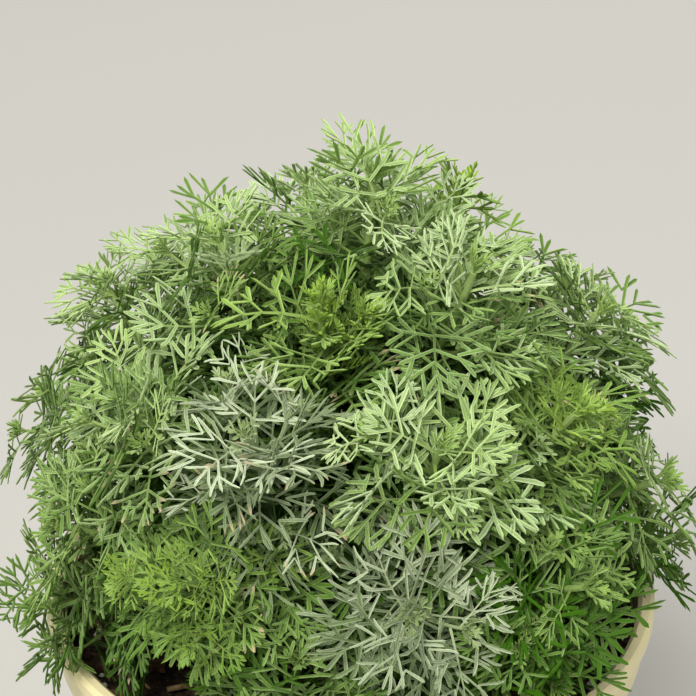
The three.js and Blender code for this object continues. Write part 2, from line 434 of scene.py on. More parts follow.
class Shading:
    """A material in the making.

    A share is a number from 0 to 1, a socket that gives one, or a value with the two limits between
    which a soft step rises. A colour is a hex number or a socket.
    """

    def __init__(self, name: str) -> None:
        """Starts a material and finds the place on the object.

        Args:
            name: the material's name.
        """
        self.material = bpy.data.materials.new(name)
        self.material.use_nodes = True
        self.tree = self.material.node_tree
        self.where = self.node("TexCoord", {}, "Object")

    def feed(self, node: bpy.types.Node, inputs: dict) -> None:
        """Sets a node's inputs.

        Args:
            node: the node.
            inputs: values or sockets for its inputs, by name or number.
        """
        for key, value in inputs.items():
            if isinstance(value, Socket):
                self.tree.links.new(value, node.inputs[key])
            else:
                node.inputs[key].default_value = value

    def node(self, kind: str, inputs: dict, output: int | str = 0, **settings: object) -> Socket:
        """Adds a node.

        Args:
            kind: the shader node's type.
            inputs: values or sockets for its inputs, by name or number.
            output: the output that is wanted, by name or number.
            settings: its other properties.

        Returns:
            That output.
        """
        node = self.tree.nodes.new(f"ShaderNode{kind}")
        for name, value in settings.items():
            setattr(node, name, value)
        self.feed(node, inputs)
        return node.outputs[output]

    def blotches(
        self, size: float, low: float, high: float, detail: float = 3.0, stretch: tuple = (1, 1, 1)
    ) -> Socket:
        """Spreads soft blotches over the surface.

        Args:
            size: about how wide a blotch is.
            low: the noise up to which there is none.
            high: the noise from which it is full.
            detail: how ragged the blotches are.
            stretch: how the place is scaled first, which draws them out along the axis that shrinks.

        Returns:
            The share of the blotches.
        """
        where = self.node("Mapping", {"Vector": self.where, "Scale": stretch})
        cloud = self.node("TexNoise", {"Vector": where, "Scale": 1 / size, "Detail": detail})
        return self.node("MapRange", {0: cloud, 1: low, 2: high}, interpolation_type="SMOOTHSTEP")

    def lay(self, base: Colour, colour: Colour, *shares: Share) -> Socket:
        """Lays a colour over another.

        Args:
            base: the colour below.
            colour: the colour on top.
            shares: how much of the top colour shows, as shares whose product counts.

        Returns:
            The mixed colour.
        """
        product = None
        for share in shares:
            if isinstance(share, tuple):
                limits = dict(enumerate(share))
                share = self.node("MapRange", limits, interpolation_type="SMOOTHSTEP")
            if product is not None:
                share = self.node("Math", {0: product, 1: share}, operation="MULTIPLY")
            product = share
        low, high = (linear(value) if isinstance(value, int) else value for value in (base, colour))
        return self.node("Mix", {0: product, 6: low, 7: high}, 2, data_type="RGBA")

    def relief(self, height: Socket, strength: float, depth: float) -> dict:
        """The surface input for a bump: how strongly it shows, and how deep it is."""
        inputs = {"Height": height, "Strength": strength, "Distance": depth}
        return {"Normal": self.node("Bump", inputs)}

    def finish(self, inputs: dict) -> Material:
        """Sets the surface shader's inputs and gives the finished material."""
        self.feed(self.tree.nodes["Principled BSDF"], inputs)
        return self.material


@dataclass(frozen=True)
class DownyLeaf:
    """Living leaf tissue under a fine coat of flat hairs.

    The hairs scatter light, so the leaf looks matt and greyish, paler along the margins and greener in
    the groove over the vein; the pale margins are partly painted highlight, and the darker groove partly
    painted shade. Young tissue is barer, brighter and yellower; leaves in deep shade are painted a plain
    dark green, the felt and the margins are painted paler on lit leaves, as painted highlight; and spent
    tips dry to a pinkish buff.
    """

    name: str
    body: int
    young: int = 0x9EBE46
    # Painted shade: the plain dark green that the leaves take where their lightness is low. The mottle and
    # the line over the vein take it too.
    deep: int = 0x325A02
    # The margin and down colours are the hairs' own pale grey, laid on by the coat, which grows with the
    # painted light: partly painted highlight.
    margin: int = 0xE6F0D0
    down: int = 0xD6E2C6
    stalk: int = 0xA8BF74
    dry: int = 0xB4A284
    mottle_size: float = 5 * MM
    mottle_share: float = 0.3
    felt_range: tuple = (0.5, 1.0)
    felt_share: float = 0.38
    # The darker line over the vein: partly the vein's own green, partly painted shade in the groove.
    vein_shade_range: tuple = (0.2, 0.02)
    vein_shade_share: float = 0.33
    # The pale margins: partly the hairs' own colour, partly painted highlight on lit leaves.
    margin_highlight_range: tuple = (0.3, 0.5)
    margin_highlight_share: float = 0.6
    hair_share: float = 0.4
    bareness: float = 0.85
    # Painted shade on the stalks: how far they are darkened towards the deep green, and how much of their
    # pale colour comes back where the lightness is high.
    stalk_shade: float = 0.45
    stalk_share: float = 0.75
    dry_range: tuple = (0.5, 0.95)
    # A hair is about 0.05 mm wide. The tufts are drawn this coarse so that they show.
    hair_size: float = 0.35 * MM
    hair_depth: float = 0.08 * MM
    hair_relief: float = 0.35
    roughness: float = 0.62
    specular: float = 0.12
    sheen: float = 0.05

    def tissue(self, shading: Shading, lightness: Socket, youth: Socket) -> Socket:
        """Colours the tissue itself, and paints it dark green where it is in shade.

        Args:
            shading: the material in the making.
            lightness: its painted light and shade: at 0 it is painted the plain dark green of shade.
            youth: how young it is.

        Returns:
            The colour.
        """
        body = shading.lay(self.body, self.young, youth)
        mottle = shading.blotches(self.mottle_size, low=0.35, high=0.75)
        body = shading.lay(body, self.deep, mottle, self.mottle_share)
        # Painted shade: where the lightness is low, the tissue turns to the deep green.
        return shading.lay(self.deep, body, lightness)

    def coated(self, shading: Shading, body: Socket, across: Socket, coat: Socket, hairs: Socket) -> Socket:
        """Lays the coat of hairs over the tissue.

        Args:
            shading: the material in the making.
            body: the colour of the tissue.
            across: the place across the lobe, from margin to margin.
            coat: how thick the coat is drawn. It grows with the painted light, so what it lays on is partly
                painted highlight.
            hairs: the share of single tufts of hair.

        Returns:
            The colour with its felt, its vein, its margins and its tufts.
        """
        aside = shading.node("Math", {0: across, 1: 0.5}, operation="SUBTRACT")
        off_vein = shading.node("Math", {0: aside}, operation="ABSOLUTE")
        # The felt, the pale margins and the tufts follow the coat, and so the painted light: partly painted
        # highlight.
        body = shading.lay(body, self.down, (coat, *self.felt_range), self.felt_share)
        # The darker line over the vein: partly the vein's green, partly painted shade in the groove.
        body = shading.lay(body, self.deep, (off_vein, *self.vein_shade_range), self.vein_shade_share)
        body = shading.lay(body, self.margin, (off_vein, *self.margin_highlight_range), coat, self.margin_highlight_share)
        return shading.lay(body, self.down, hairs, coat, self.hair_share)

    def material(self) -> Material:
        """Builds the material.

        Returns:
            The leaf's finish, which reads the tone and the lobe map of its piece.
        """
        shading = Shading(self.name)
        tone = shading.node("Attribute", {}, "Vector", attribute_name=Tone.NAME)
        lightness, youth, dryness = shading.node("SeparateXYZ", {0: tone}).node.outputs
        lobe = shading.node("UVMap", {}, uv_map=LOBE_MAP)
        across, along, _height = shading.node("SeparateXYZ", {0: lobe}).node.outputs
        cover = shading.node("Math", {0: youth, 1: -self.bareness, 2: 1.0}, operation="MULTIPLY_ADD")
        # The coat grows with the lightness, which is painted light and shade: lit leaves get more felt, paler
        # margins and more tufts, as painted highlight.
        coat = shading.node("Math", {0: lightness, 1: cover}, operation="MULTIPLY")
        hairs = shading.blotches(self.hair_size, low=0.5, high=0.8, detail=1.0)
        body = self.coated(shading, self.tissue(shading, lightness, youth), across, coat, hairs)
        # Painted shade on the stalks: darkened towards the deep green, and paler where the painted light is
        # high.
        shaded_stalk = shading.lay(body, self.deep, self.stalk_shade)
        stalk = shading.lay(shaded_stalk, self.stalk, lightness, self.stalk_share)
        body = shading.lay(body, stalk, tone.node.outputs["Alpha"])
        drying = shading.node("Math", {0: dryness, 1: along}, operation="MULTIPLY")
        return shading.finish(
            {
                "Base Color": shading.lay(body, self.dry, (drying, *self.dry_range)),
                "Roughness": self.roughness,
                "Sheen Weight": self.sheen,
                "Sheen Tint": linear(self.down),
                "Specular IOR Level": self.specular,
                **shading.relief(hairs, self.hair_relief, self.hair_depth),
            }
        )


@dataclass(frozen=True)
class Bark:
    """Southernwood bark: thin, greyish brown, and cracked lengthways so that the darker cork shows."""

    name: str = "southernwood_bark"
    ridge: int = 0x9A8B70
    crack: int = 0x4A3A2A
    green: int = 0x7F8B58
    crack_width: float = 1.3 * MM
    crack_length: float = 9 * MM
    crack_depth: float = 0.4 * MM
    crack_relief: float = 0.7
    lichen_size: float = 8 * MM
    roughness: float = 0.88

    def material(self) -> Material:
        """Builds the material.

        Returns:
            The bark's finish.
        """
        shading = Shading(self.name)
        lengthways = (1, 1, self.crack_width / self.crack_length)
        cracks = shading.blotches(self.crack_width, low=0.42, high=0.58, detail=6.0, stretch=lengthways)
        lichen = shading.blotches(self.lichen_size, low=0.55, high=0.8)
        return shading.finish(
            {
                "Base Color": shading.lay(shading.lay(self.crack, self.ridge, cracks), self.green, lichen),
                "Roughness": self.roughness,
                **shading.relief(cracks, self.crack_relief, self.crack_depth),
            }
        )


@dataclass(frozen=True)
class PeatCompost:
    """Moist peat compost: dark brown crumbs and fibres, nearly black where it is wet and shaded."""

    name: str = "peat_compost"
    crumb: int = 0x4A3B2D
    # Near black: the colour of wet peat, and painted shade in the hollows between the crumbs.
    damp_and_shade: int = 0x1D1812
    fibre: int = 0x7A6148
    grain_size: float = 1.6 * MM
    grain_depth: float = 1.0 * MM
    patch_size: float = 14 * MM
    patch_share: float = 0.5
    fibre_width: float = 0.9 * MM
    roughness: float = 0.95
    specular: float = 0.2

    def material(self) -> Material:
        """Builds the material.

        Returns:
            The compost's finish.
        """
        shading = Shading(self.name)
        scale = 1 / self.grain_size
        grains = shading.node("TexNoise", {"Vector": shading.where, "Scale": scale, "Detail": 8.0})
        patches = shading.blotches(self.patch_size, low=0.35, high=0.7)
        fibres = shading.blotches(self.fibre_width, low=0.68, high=0.74, detail=2.0)
        # The near black shows where the grains are low, in the hollows of their bump: painted shade there; in
        # the patches, wet peat.
        body = shading.lay(self.damp_and_shade, self.crumb, (grains, 0.35, 0.65))
        body = shading.lay(body, self.damp_and_shade, patches, self.patch_share)
        return shading.finish(
            {
                "Base Color": shading.lay(body, self.fibre, fibres),
                "Roughness": self.roughness,
                "Specular IOR Level": self.specular,
                **shading.relief(grains, 1.0, self.grain_depth),
            }
        )


@dataclass(frozen=True)
class MouldedPolypropylene:
    """Injection-moulded polypropylene, coloured through: a soft, waxy sheen under marks of use.

    It is faintly clouded, scuffed round the wall, streaked by watering, and dusty with soil at the foot.
    """

    name: str = "moulded_polypropylene"
    body: int = 0xDDD2A2
    worn: int = 0xE3DAB0
    soil: int = 0x6D5439
    cloud_size: float = 40 * MM
    scuff_length: float = 26 * MM
    scuff_flatness: float = 14.0
    scuff_share: float = 0.35
    run_width: float = 5 * MM
    run_length: float = 50 * MM
    run_share: float = 0.06
    splash_height: float = 26 * MM
    dust_share: float = 0.28
    speck_size: float = 1.2 * MM
    speck_share: float = 0.4
    # The mould's grain is about 0.1 mm wide. It is drawn this coarse so that it shows.
    grain_size: float = 0.5 * MM
    grain_depth: float = 0.1 * MM
    grain_relief: float = 0.12
    sheen_range: tuple = (0.4, 0.52)
    ior: float = 1.49

    def soiled(self, shading: Shading, body: Socket) -> Socket:
        """Lays the runs of watering and the soil at the foot over the plastic.

        Args:
            shading: the material in the making.
            body: the colour of the plastic.

        Returns:
            The soiled colour.
        """
        downwards = (1, 1, self.run_width / self.run_length)
        runs = shading.blotches(self.run_width, low=0.6, high=0.8, detail=4.0, stretch=downwards)
        foot = (shading.node("SeparateXYZ", {0: shading.where}, 2), self.splash_height, 0.0)
        dust = shading.blotches(self.cloud_size, low=0.2, high=0.8, detail=6.0)
        specks = shading.blotches(self.speck_size, low=0.62, high=0.7)
        body = shading.lay(body, self.soil, runs, self.run_share)
        body = shading.lay(body, self.soil, foot, dust, self.dust_share)
        return shading.lay(body, self.soil, foot, specks, self.speck_share)

    def material(self) -> Material:
        """Builds the material.

        Returns:
            The pot's finish.
        """
        shading = Shading(self.name)
        clouds = shading.blotches(self.cloud_size, low=0.3, high=0.75, detail=4.0)
        scuffs = shading.blotches(self.scuff_length, low=0.66, high=0.76, stretch=(1, 1, self.scuff_flatness))
        body = shading.lay(self.body, self.worn, clouds)
        body = shading.lay(body, self.worn, scuffs, self.scuff_share)
        scale = 1 / self.grain_size
        grain = shading.node("TexNoise", {"Vector": shading.where, "Scale": scale, "Detail": 2.0})
        smoothest, roughest = self.sheen_range
        return shading.finish(
            {
                "Base Color": self.soiled(shading, body),
                "Roughness": shading.node("MapRange", {0: clouds, 3: smoothest, 4: roughest}),
                "IOR": self.ior,
                **shading.relief(grain, self.grain_relief, self.grain_depth),
            }
        )


@dataclass(frozen=True)
class LooseMatter:
    """Loose bits on the compost: a dull, dusty surface whose colour changes from bit to bit."""

    name: str
    light: int
    dark: int
    blotch: float = 3 * MM
    roughness: float = 0.9

    def material(self) -> Material:
        """Builds the material.

        Returns:
            The finish of one kind of bit.
        """
        shading = Shading(self.name)
        share = shading.blotches(self.blotch, low=0.35, high=0.65, detail=4.0)
        colour = shading.lay(self.dark, self.light, share)
        return shading.finish({"Base Color": colour, "Roughness": self.roughness})


# Pot and compost


def spin_profile(profile: Profile, sides: int) -> Piece:
    """Turns a section about Z into a closed body.

    Args:
        profile: points of radius and height, from axis to axis.
        sides: how many steps the turn takes.

    Returns:
        The new object.
    """
    body = primitive("plane", size=1)
    edit_all(body)
    bpy.ops.mesh.merge(type="CENTER")
    bpy.ops.transform.translate(value=(profile[0][0], 0, profile[0][1]))
    for (radius, height), (next_radius, next_height) in zip(profile, profile[1:]):
        step = (next_radius - radius, 0, next_height - height)
        bpy.ops.mesh.extrude_region_move(TRANSFORM_OT_translate={"value": step})
    bpy.ops.mesh.select_all(action="SELECT")
    bpy.ops.mesh.spin(steps=sides, angle=2 * pi, center=(0, 0, 0), axis=(0, 0, 1))
    leave_edit()
    face_outwards(body, merge=True)
    return body


@dataclass
class Pot:
    """The round nursery pot: a tapered wall, a stepped band under a rolled lip, and a drained floor."""

    height: float = 135 * MM
    rim_radius: float = 85 * MM
    lip_width: float = 4.6 * MM
    lip_height: float = 4 * MM
    band_height: float = 17 * MM
    wall: float = 2 * MM
    floor: float = 3 * MM
    foot_radius: float = 60 * MM
    shoulder: float = 3.5 * MM
    softening: float = 1.2 * MM
    sides: int = 144
    drain_holes: int = 6
    drain_radius: float = 5 * MM
    drain_circle: float = 38 * MM
    drain_sides: int = 24
    edge_bevel: float = 0.9 * MM
    bevel_steps: int = 3
    bevel_above: float = 24
    smooth_below: float = 32
    sliver: float = 0.01 * MM
    finish: MouldedPolypropylene = MouldedPolypropylene()

    @property
    def inner_lip(self) -> float:
        """The radius of the wall's inner face under the lip."""
        return self.rim_radius - self.lip_width

    @property
    def band_radius(self) -> float:
        """The outer radius of the band."""
        return self.inner_lip + self.wall

    @property
    def band_base(self) -> float:
        """The height at which the band steps out from the wall."""
        return self.height - self.band_height

    @property
    def neck_radius(self) -> float:
        """The outer radius of the wall just below the band."""
        return self.band_radius - self.shoulder

    def profile(self) -> Profile:
        """The section of the pot as points of radius and height, from axis to axis."""
        soft = self.softening
        return [
            (0, 0),
            (self.foot_radius - soft, 0),
            (self.foot_radius, soft),
            (self.neck_radius, self.band_base),
            (self.band_radius, self.band_base + self.wall),
            (self.band_radius, self.height - self.lip_height - soft),
            (self.rim_radius, self.height - self.lip_height),
            (self.rim_radius, self.height - soft),
            (self.rim_radius - soft, self.height),
            (self.inner_lip + soft, self.height),
            (self.inner_lip, self.height - soft),
            (self.inner_lip, self.band_base + self.shoulder),
            (self.neck_radius - self.wall, self.band_base),
            (self.foot_radius - self.wall, self.floor),
            (0, self.floor),
        ]

    def drill(self, body: Piece) -> None:
        """Cuts the drain holes through the floor.

        Args:
            body: the pot.
        """
        for index in range(self.drain_holes):
            cutter = primitive(
                "cylinder",
                vertices=self.drain_sides,
                radius=self.drain_radius,
                depth=4 * self.floor,
                location=polar(self.drain_circle, 360 * index / self.drain_holes, self.floor / 2),
            )
            apply_modifier(body, "BOOLEAN", operation="DIFFERENCE", object=cutter, solver="EXACT")
            discard([cutter])

    def build(self) -> Piece:
        """Makes the pot and hands it over.

        Returns:
            The finished piece.
        """
        body = spin_profile(self.profile(), self.sides)
        self.drill(body)
        limit = {"limit_method": "ANGLE", "angle_limit": radians(self.bevel_above)}
        apply_modifier(body, "BEVEL", width=self.edge_bevel, segments=self.bevel_steps, **limit)
        edit_all(body)
        bpy.ops.mesh.dissolve_degenerate(threshold=self.sliver)
        leave_edit()
        smooth_by_angle(body, self.smooth_below)
        name_it(body, "moulded_pot")
        return hand_over(body, self.finish.material(), "pot_plastic", "pot")


@dataclass
class Compost:
    """Peat compost that fills the pot to just under its band, with a rough, mounded top."""

    pot: Pot
    below_rim: float = 14.5 * MM
    mound: float = 3.5 * MM
    gap: float = 0.4 * MM
    ripple: float = 0.8 * MM
    ripple_length: float = 34 * MM
    clod_size: float = 9 * MM
    clod_height: float = 1.5 * MM
    crumb_size: float = 2.6 * MM
    crumb_height: float = 0.6 * MM
    rings: int = 42
    sides: int = 160
    smooth_below: float = 130
    leaf_clearance: float = 0.4 * MM
    finish: PeatCompost = PeatCompost()

    @property
    def edge_level(self) -> float:
        """The height of the compost's top at the pot's wall."""
        return self.pot.height - self.below_rim

    @property
    def level(self) -> float:
        """The height of the compost's top at the pot's axis."""
        return self.edge_level + self.mound

    @property
    def edge_radius(self) -> float:
        """The radius of the compost at its top edge."""
        return self.pot.inner_lip - self.gap

    def surface(self, x: float, y: float) -> float:
        """Finds the height of the compost's top, with its clods and crumbs.

        Args:
            x: the place across.
            y: the place away from the viewer.

        Returns:
            The height there.
        """
        share = hypot(x, y) / self.edge_radius
        turn = 2 * pi / self.ripple_length
        height = self.edge_level + self.mound * (1 - share**2)
        height += self.ripple * sin(turn * x) * cos(turn * y)
        height += self.clod_height * noise.noise(Vector((x, y, 0)) / self.clod_size)
        height += self.crumb_height * noise.noise(Vector((x, y, 1)) / self.crumb_size)
        return height

    def blocks(self, corners: np.ndarray) -> bool:
        """Tells whether a leaf would reach into the compost or the pot's rim.

        Args:
            corners: the leaf's corners.

        Returns:
            True if any corner is nearer than the clearance.
        """
        clearance = self.leaf_clearance
        radius = np.hypot(corners[:, 0], corners[:, 1])
        height = corners[:, 2]
        soil = self.level - self.mound * (radius / self.edge_radius) ** 2
        is_inside = radius < self.pot.inner_lip
        in_soil = is_inside & (height < soil + clearance)
        near_wall = ~is_inside & (radius < self.pot.rim_radius + clearance)
        in_rim = near_wall & (height < self.pot.height + clearance)
        return bool(np.any(in_soil | in_rim))

    def profile(self) -> Profile:
        """The section of the compost as points of radius and height, from axis to axis."""
        pot = self.pot
        rings = [(self.edge_radius * i / self.rings, self.edge_level) for i in range(self.rings - 1, -1, -1)]
        return [
            (0, pot.floor + self.gap),
            (pot.foot_radius - pot.wall - self.gap, pot.floor + self.gap),
            (pot.neck_radius - pot.wall - self.gap, pot.band_base),
            (self.edge_radius, pot.band_base + pot.shoulder + self.gap),
            *rings,
        ]

    def build(self) -> Piece:
        """Makes the compost and hands it over.

        Returns:
            The finished piece.
        """
        body = spin_profile(self.profile(), self.sides)
        corners = corners_of(body.data)
        for corner in corners:
            if abs(corner[2] - self.edge_level) < self.gap:
                corner[2] = self.surface(corner[0], corner[1])
        move_corners(body.data, corners)
        smooth_by_angle(body, self.smooth_below)
        name_it(body, "compost_fill")
        return hand_over(body, self.finish.material(), "compost", "compost")


# Litter


def knobbly_grain(fineness: int) -> Piece:
    """Makes a rounded, knobbly grain of unit radius.

    Args:
        fineness: how often the faces of an icosahedron are divided for it, from 1.

    Returns:
        The grain.
    """
    grain = primitive("ico_sphere", subdivisions=fineness, radius=1)
    roughen(grain.data, depth=0.35, pace=1.6, start=Vector((0, 0, 0)))
    smooth_by_angle(grain, angle=40)
    return grain


def split_chip() -> Piece:
    """A flat, split chip with uneven edges, two units long."""
    chip = primitive("cube", size=2)
    edit_all(chip)
    bpy.ops.mesh.subdivide(number_cuts=1)
    leave_edit()
    roughen(chip.data, depth=0.5, pace=1.1, start=Vector((4, 0, 0)))
    return chip


def bare_twig() -> Piece:
    """A straight twig of unit length and radius, lying along +Y."""
    twig = Rod(sides=6, rings=3).pattern
    twig.data.transform(Matrix.Rotation(-pi / 2, 4, "X"))
    return twig


@dataclass(frozen=True)
class LitterKind:
    """One kind of loose matter on the compost.

    Each bit has its own scale, drawn from the spread, for the size along each axis.
    """

    name: str
    slot: str
    matter: LooseMatter
    shape: Callable[[], Piece]
    count: int
    size: tuple[float, float, float]
    spread: tuple[float, float] = (0.6, 1.4)


LITTER_KINDS = (
    LitterKind(
        name="peat_crumbs",
        slot="compost",
        matter=LooseMatter("peat_crumb", light=0x4D3A2B, dark=0x251A13, blotch=1.5 * MM),
        shape=lambda: knobbly_grain(1),
        count=420,
        size=(1 * MM, 1 * MM, 1 * MM),
        spread=(0.6, 1.9),
    ),
    LitterKind(
        name="perlite_grains",
        slot="compost",
        matter=LooseMatter("expanded_perlite", light=0xE6E2D8, dark=0xB9B2A2),
        shape=lambda: knobbly_grain(2),
        count=60,
        size=(1 * MM, 1 * MM, 1 * MM),
        spread=(0.7, 1.7),
    ),
    LitterKind(
        name="bark_chips",
        slot="compost",
        matter=LooseMatter("composted_bark", light=0x7A5638, dark=0x3C281A),
        shape=split_chip,
        count=70,
        size=(3.4 * MM, 1.8 * MM, 0.7 * MM),
    ),
    LitterKind(
        name="fallen_twigs",
        slot="bark",
        matter=LooseMatter("dry_stem", light=0xA08A62, dark=0x6A5236),
        shape=bare_twig,
        count=14,
        size=(0.55 * MM, 16 * MM, 0.55 * MM),
    ),
    LitterKind(
        name="fallen_lobes",
        slot="bark",
        matter=LooseMatter("withered_leaf", light=0xB08C58, dark=0x6E4C2C),
        shape=lambda: Lobe(LobeForm.PLAIN).build(),
        count=90,
        size=(0.55 * MM, 8 * MM, 0.55 * MM),
    ),
)


@dataclass
class Litter:
    """Loose matter on the compost: perlite, bark chips, twigs, and leaf lobes that dried and fell."""

    compost: Compost
    kinds: tuple[LitterKind, ...] = LITTER_KINDS
    clear_of_stem: float = 9 * MM
    clear_of_wall: float = 0.6 * MM
    # A bit's centre lies this share of its least size over the compost, so that its foot is sunk.
    height_share: float = 0.3
    tilt: float = 12

    def place(self, size: Sequence[float], draw: random.Random) -> Matrix:
        """Draws a place on the compost for one bit.

        Args:
            size: the bit's size along each axis.
            draw: the seeded draw.

        Returns:
            The matrix that scales the bit, tilts and turns it, and lays it there.
        """
        farthest = self.compost.edge_radius - self.clear_of_wall - max(size)
        spot = polar(mix(self.clear_of_stem, farthest, sqrt(draw.random())), draw.uniform(0, 360), 0)
        spot.z = self.compost.surface(spot.x, spot.y) + self.height_share * min(size)
        turned = Matrix.Rotation(draw.uniform(0, 2 * pi), 4, "Z")
        tilted = Matrix.Rotation(radians(draw.uniform(-self.tilt, self.tilt)), 4, "X")
        return Matrix.Translation(spot) @ turned @ tilted @ Matrix.Diagonal((*size, 1))

    def strew(self, kind: LitterKind, seed: int) -> Piece:
        """Makes one kind of litter and hands it over.

        Args:
            kind: the kind.
            seed: the start of its draw.

        Returns:
            All of its bits as one piece.
        """
        draw = random.Random(seed)
        pattern = kind.shape()
        bits = []
        for _index in range(kind.count):
            scale = draw.uniform(*kind.spread)
            bit = copy_of(pattern)
            bit.data.transform(self.place([value * scale for value in kind.size], draw))
            bits.append(bit)
        discard([pattern])
        return hand_over(joined(bits, kind.name), kind.matter.material(), kind.slot)

    def build(self) -> Iterator[Piece]:
        """Makes the kinds of litter, one after the other."""
        for seed, kind in enumerate(self.kinds):
            yield self.strew(kind, seed)


# Wood


@dataclass
class Rod:
    """A straight rod of unit length and radius, whose copies are bent along courses."""

    sides: int
    rings: int
    pattern: Piece = field(init=False)

    def __post_init__(self) -> None:
        """Makes the pattern, standing on the origin, with even rings of corners."""
        upright = {"vertices": self.sides, "radius": 1, "depth": 1, "location": (0, 0, 0.5)}
        self.pattern = settle(primitive("cylinder", **upright))
        edit_all(self.pattern)
        for ring in range(1, self.rings):
            bpy.ops.mesh.select_all(action="SELECT")
            bpy.ops.mesh.bisect(plane_co=(0, 0, ring / self.rings), plane_no=(0, 0, 1))
        leave_edit()

    def lay(self, course: Course, radius_at: Callable[[float, float], float]) -> Piece:
        """Copies the rod and bends the copy along a course.

        Args:
            course: the curve that the copy follows.
            radius_at: gives the radius at a share of the course and an angle round it.

        Returns:
            The copy.
        """
        bent = copy_of(self.pattern)
        corners = corners_of(bent.data)
        steps = np.rint(corners[:, 2] * self.rings).astype(int)
        for step in range(self.rings + 1):
            point, _along, normal, side = course.frame(step / self.rings)
            for row in np.nonzero(steps == step)[0]:
                x, y, _z = corners[row]
                radius = radius_at(step / self.rings, atan2(y, x))
                corners[row] = point + normal * (x * radius) + side * (y * radius)
        move_corners(bent.data, corners)
        return bent


@dataclass(frozen=True)
class LimbRing:
    """A ring of limbs: how many, how far out and how high above the soil they end, and its turn."""

    count: int
    radius: float
    height: float
    turn: float


@dataclass(frozen=True)
class TipRing:
    """A ring of shoot tips: how many, where they end, how far they lean out, and its turn.

    The last value says which ring of limbs bears them.
    """

    count: int
    radius: float
    height: float
    droop: float
    turn: float
    limbs: int


@dataclass
class Framework:
    """The courses of the bush: the limbs that spread from the stem, and a course for every shoot.

    The foot of each shoot's course, up to the twig share, is wood. The rest of it is green.
    """

    soil_level: float
    fork_height: float = 5 * MM
    limb_rings: tuple = (LimbRing(1, 3 * MM, 42 * MM, 0), LimbRing(5, 30 * MM, 26 * MM, 20))
    bow: tuple = (0.4, 0.55)
    tip_rings: tuple = (
        TipRing(1, 4 * MM, 134 * MM, 6, 0, 0),
        TipRing(5, 36 * MM, 118 * MM, 18, 40, 0),
        TipRing(9, 65 * MM, 90 * MM, 36, 8, 1),
        TipRing(10, 83 * MM, 55 * MM, 58, 25, 1),
        TipRing(7, 86 * MM, 23 * MM, 88, 0, 1),
    )
    ring_scatter: float = 4
    branch_range: tuple = (0.45, 0.97)
    leaving: float = 0.3
    arriving: float = 0.35
    twig_share: float = 0.42
    limbs: list = field(default_factory=list)
    courses: list = field(default_factory=list)

    @property
    def crown_height(self) -> float:
        """How high the leader's tip stands over the soil."""
        return self.tip_rings[0].height

    def limb(self, ring: LimbRing, index: int) -> Course:
        """Finds the course of one limb.

        Args:
            ring: its ring.
            index: its number in the ring, from 0.

        Returns:
            The course.
        """
        heading = ring.turn + 360 * index / ring.count
        fork = Vector((0, 0, self.soil_level + self.fork_height))
        waist = polar(ring.radius * self.bow[0], heading, self.soil_level + ring.height * self.bow[1])
        return Course((fork, waist, polar(ring.radius, heading, self.soil_level + ring.height)))

    def tips(self, sets: list[list[Course]]) -> Iterator[tuple[Vector, Vector, Course]]:
        """Places the tips of the shoots.

        Args:
            sets: the limbs of each ring.

        Yields:
            A tip, the direction in which its shoot arrives there, and the limb that bears the shoot.
        """
        for ring in self.tip_rings:
            for index in range(ring.count):
                shift, push, rise = (scatter(index, channel, self.ring_scatter) for channel in range(3))
                heading = ring.turn + 360 * index / ring.count + shift
                height = self.soil_level + ring.height + rise * MM
                point = polar(ring.radius + push * MM, heading, height)
                tilt = radians(ring.droop)
                direction = polar(sin(tilt), heading, cos(tilt))
                limb = min(sets[ring.limbs], key=lambda course: (course.at(1) - point).length)
                yield point, direction, limb

    def build(self) -> None:
        """Works out all the courses."""
        sets = [[self.limb(ring, index) for index in range(ring.count)] for ring in self.limb_rings]
        self.limbs = [limb for row in sets for limb in row]
        tips = list(self.tips(sets))
        for point, direction, limb in tips:
            mates = sorted((other for other in tips if other[2] is limb), key=lambda other: other[0].z)
            rank = [other[0] for other in mates].index(point) / (len(mates) - 1)
            share = mix(*self.branch_range, rank)
            start = limb.at(share)
            span = (point - start).length
            first = (limb.heading(share) + (point - start).normalized()).normalized()
            control = start + first * span * self.leaving
            approach = point - direction * span * self.arriving
            self.courses.append(Course((start, control, approach, point)))


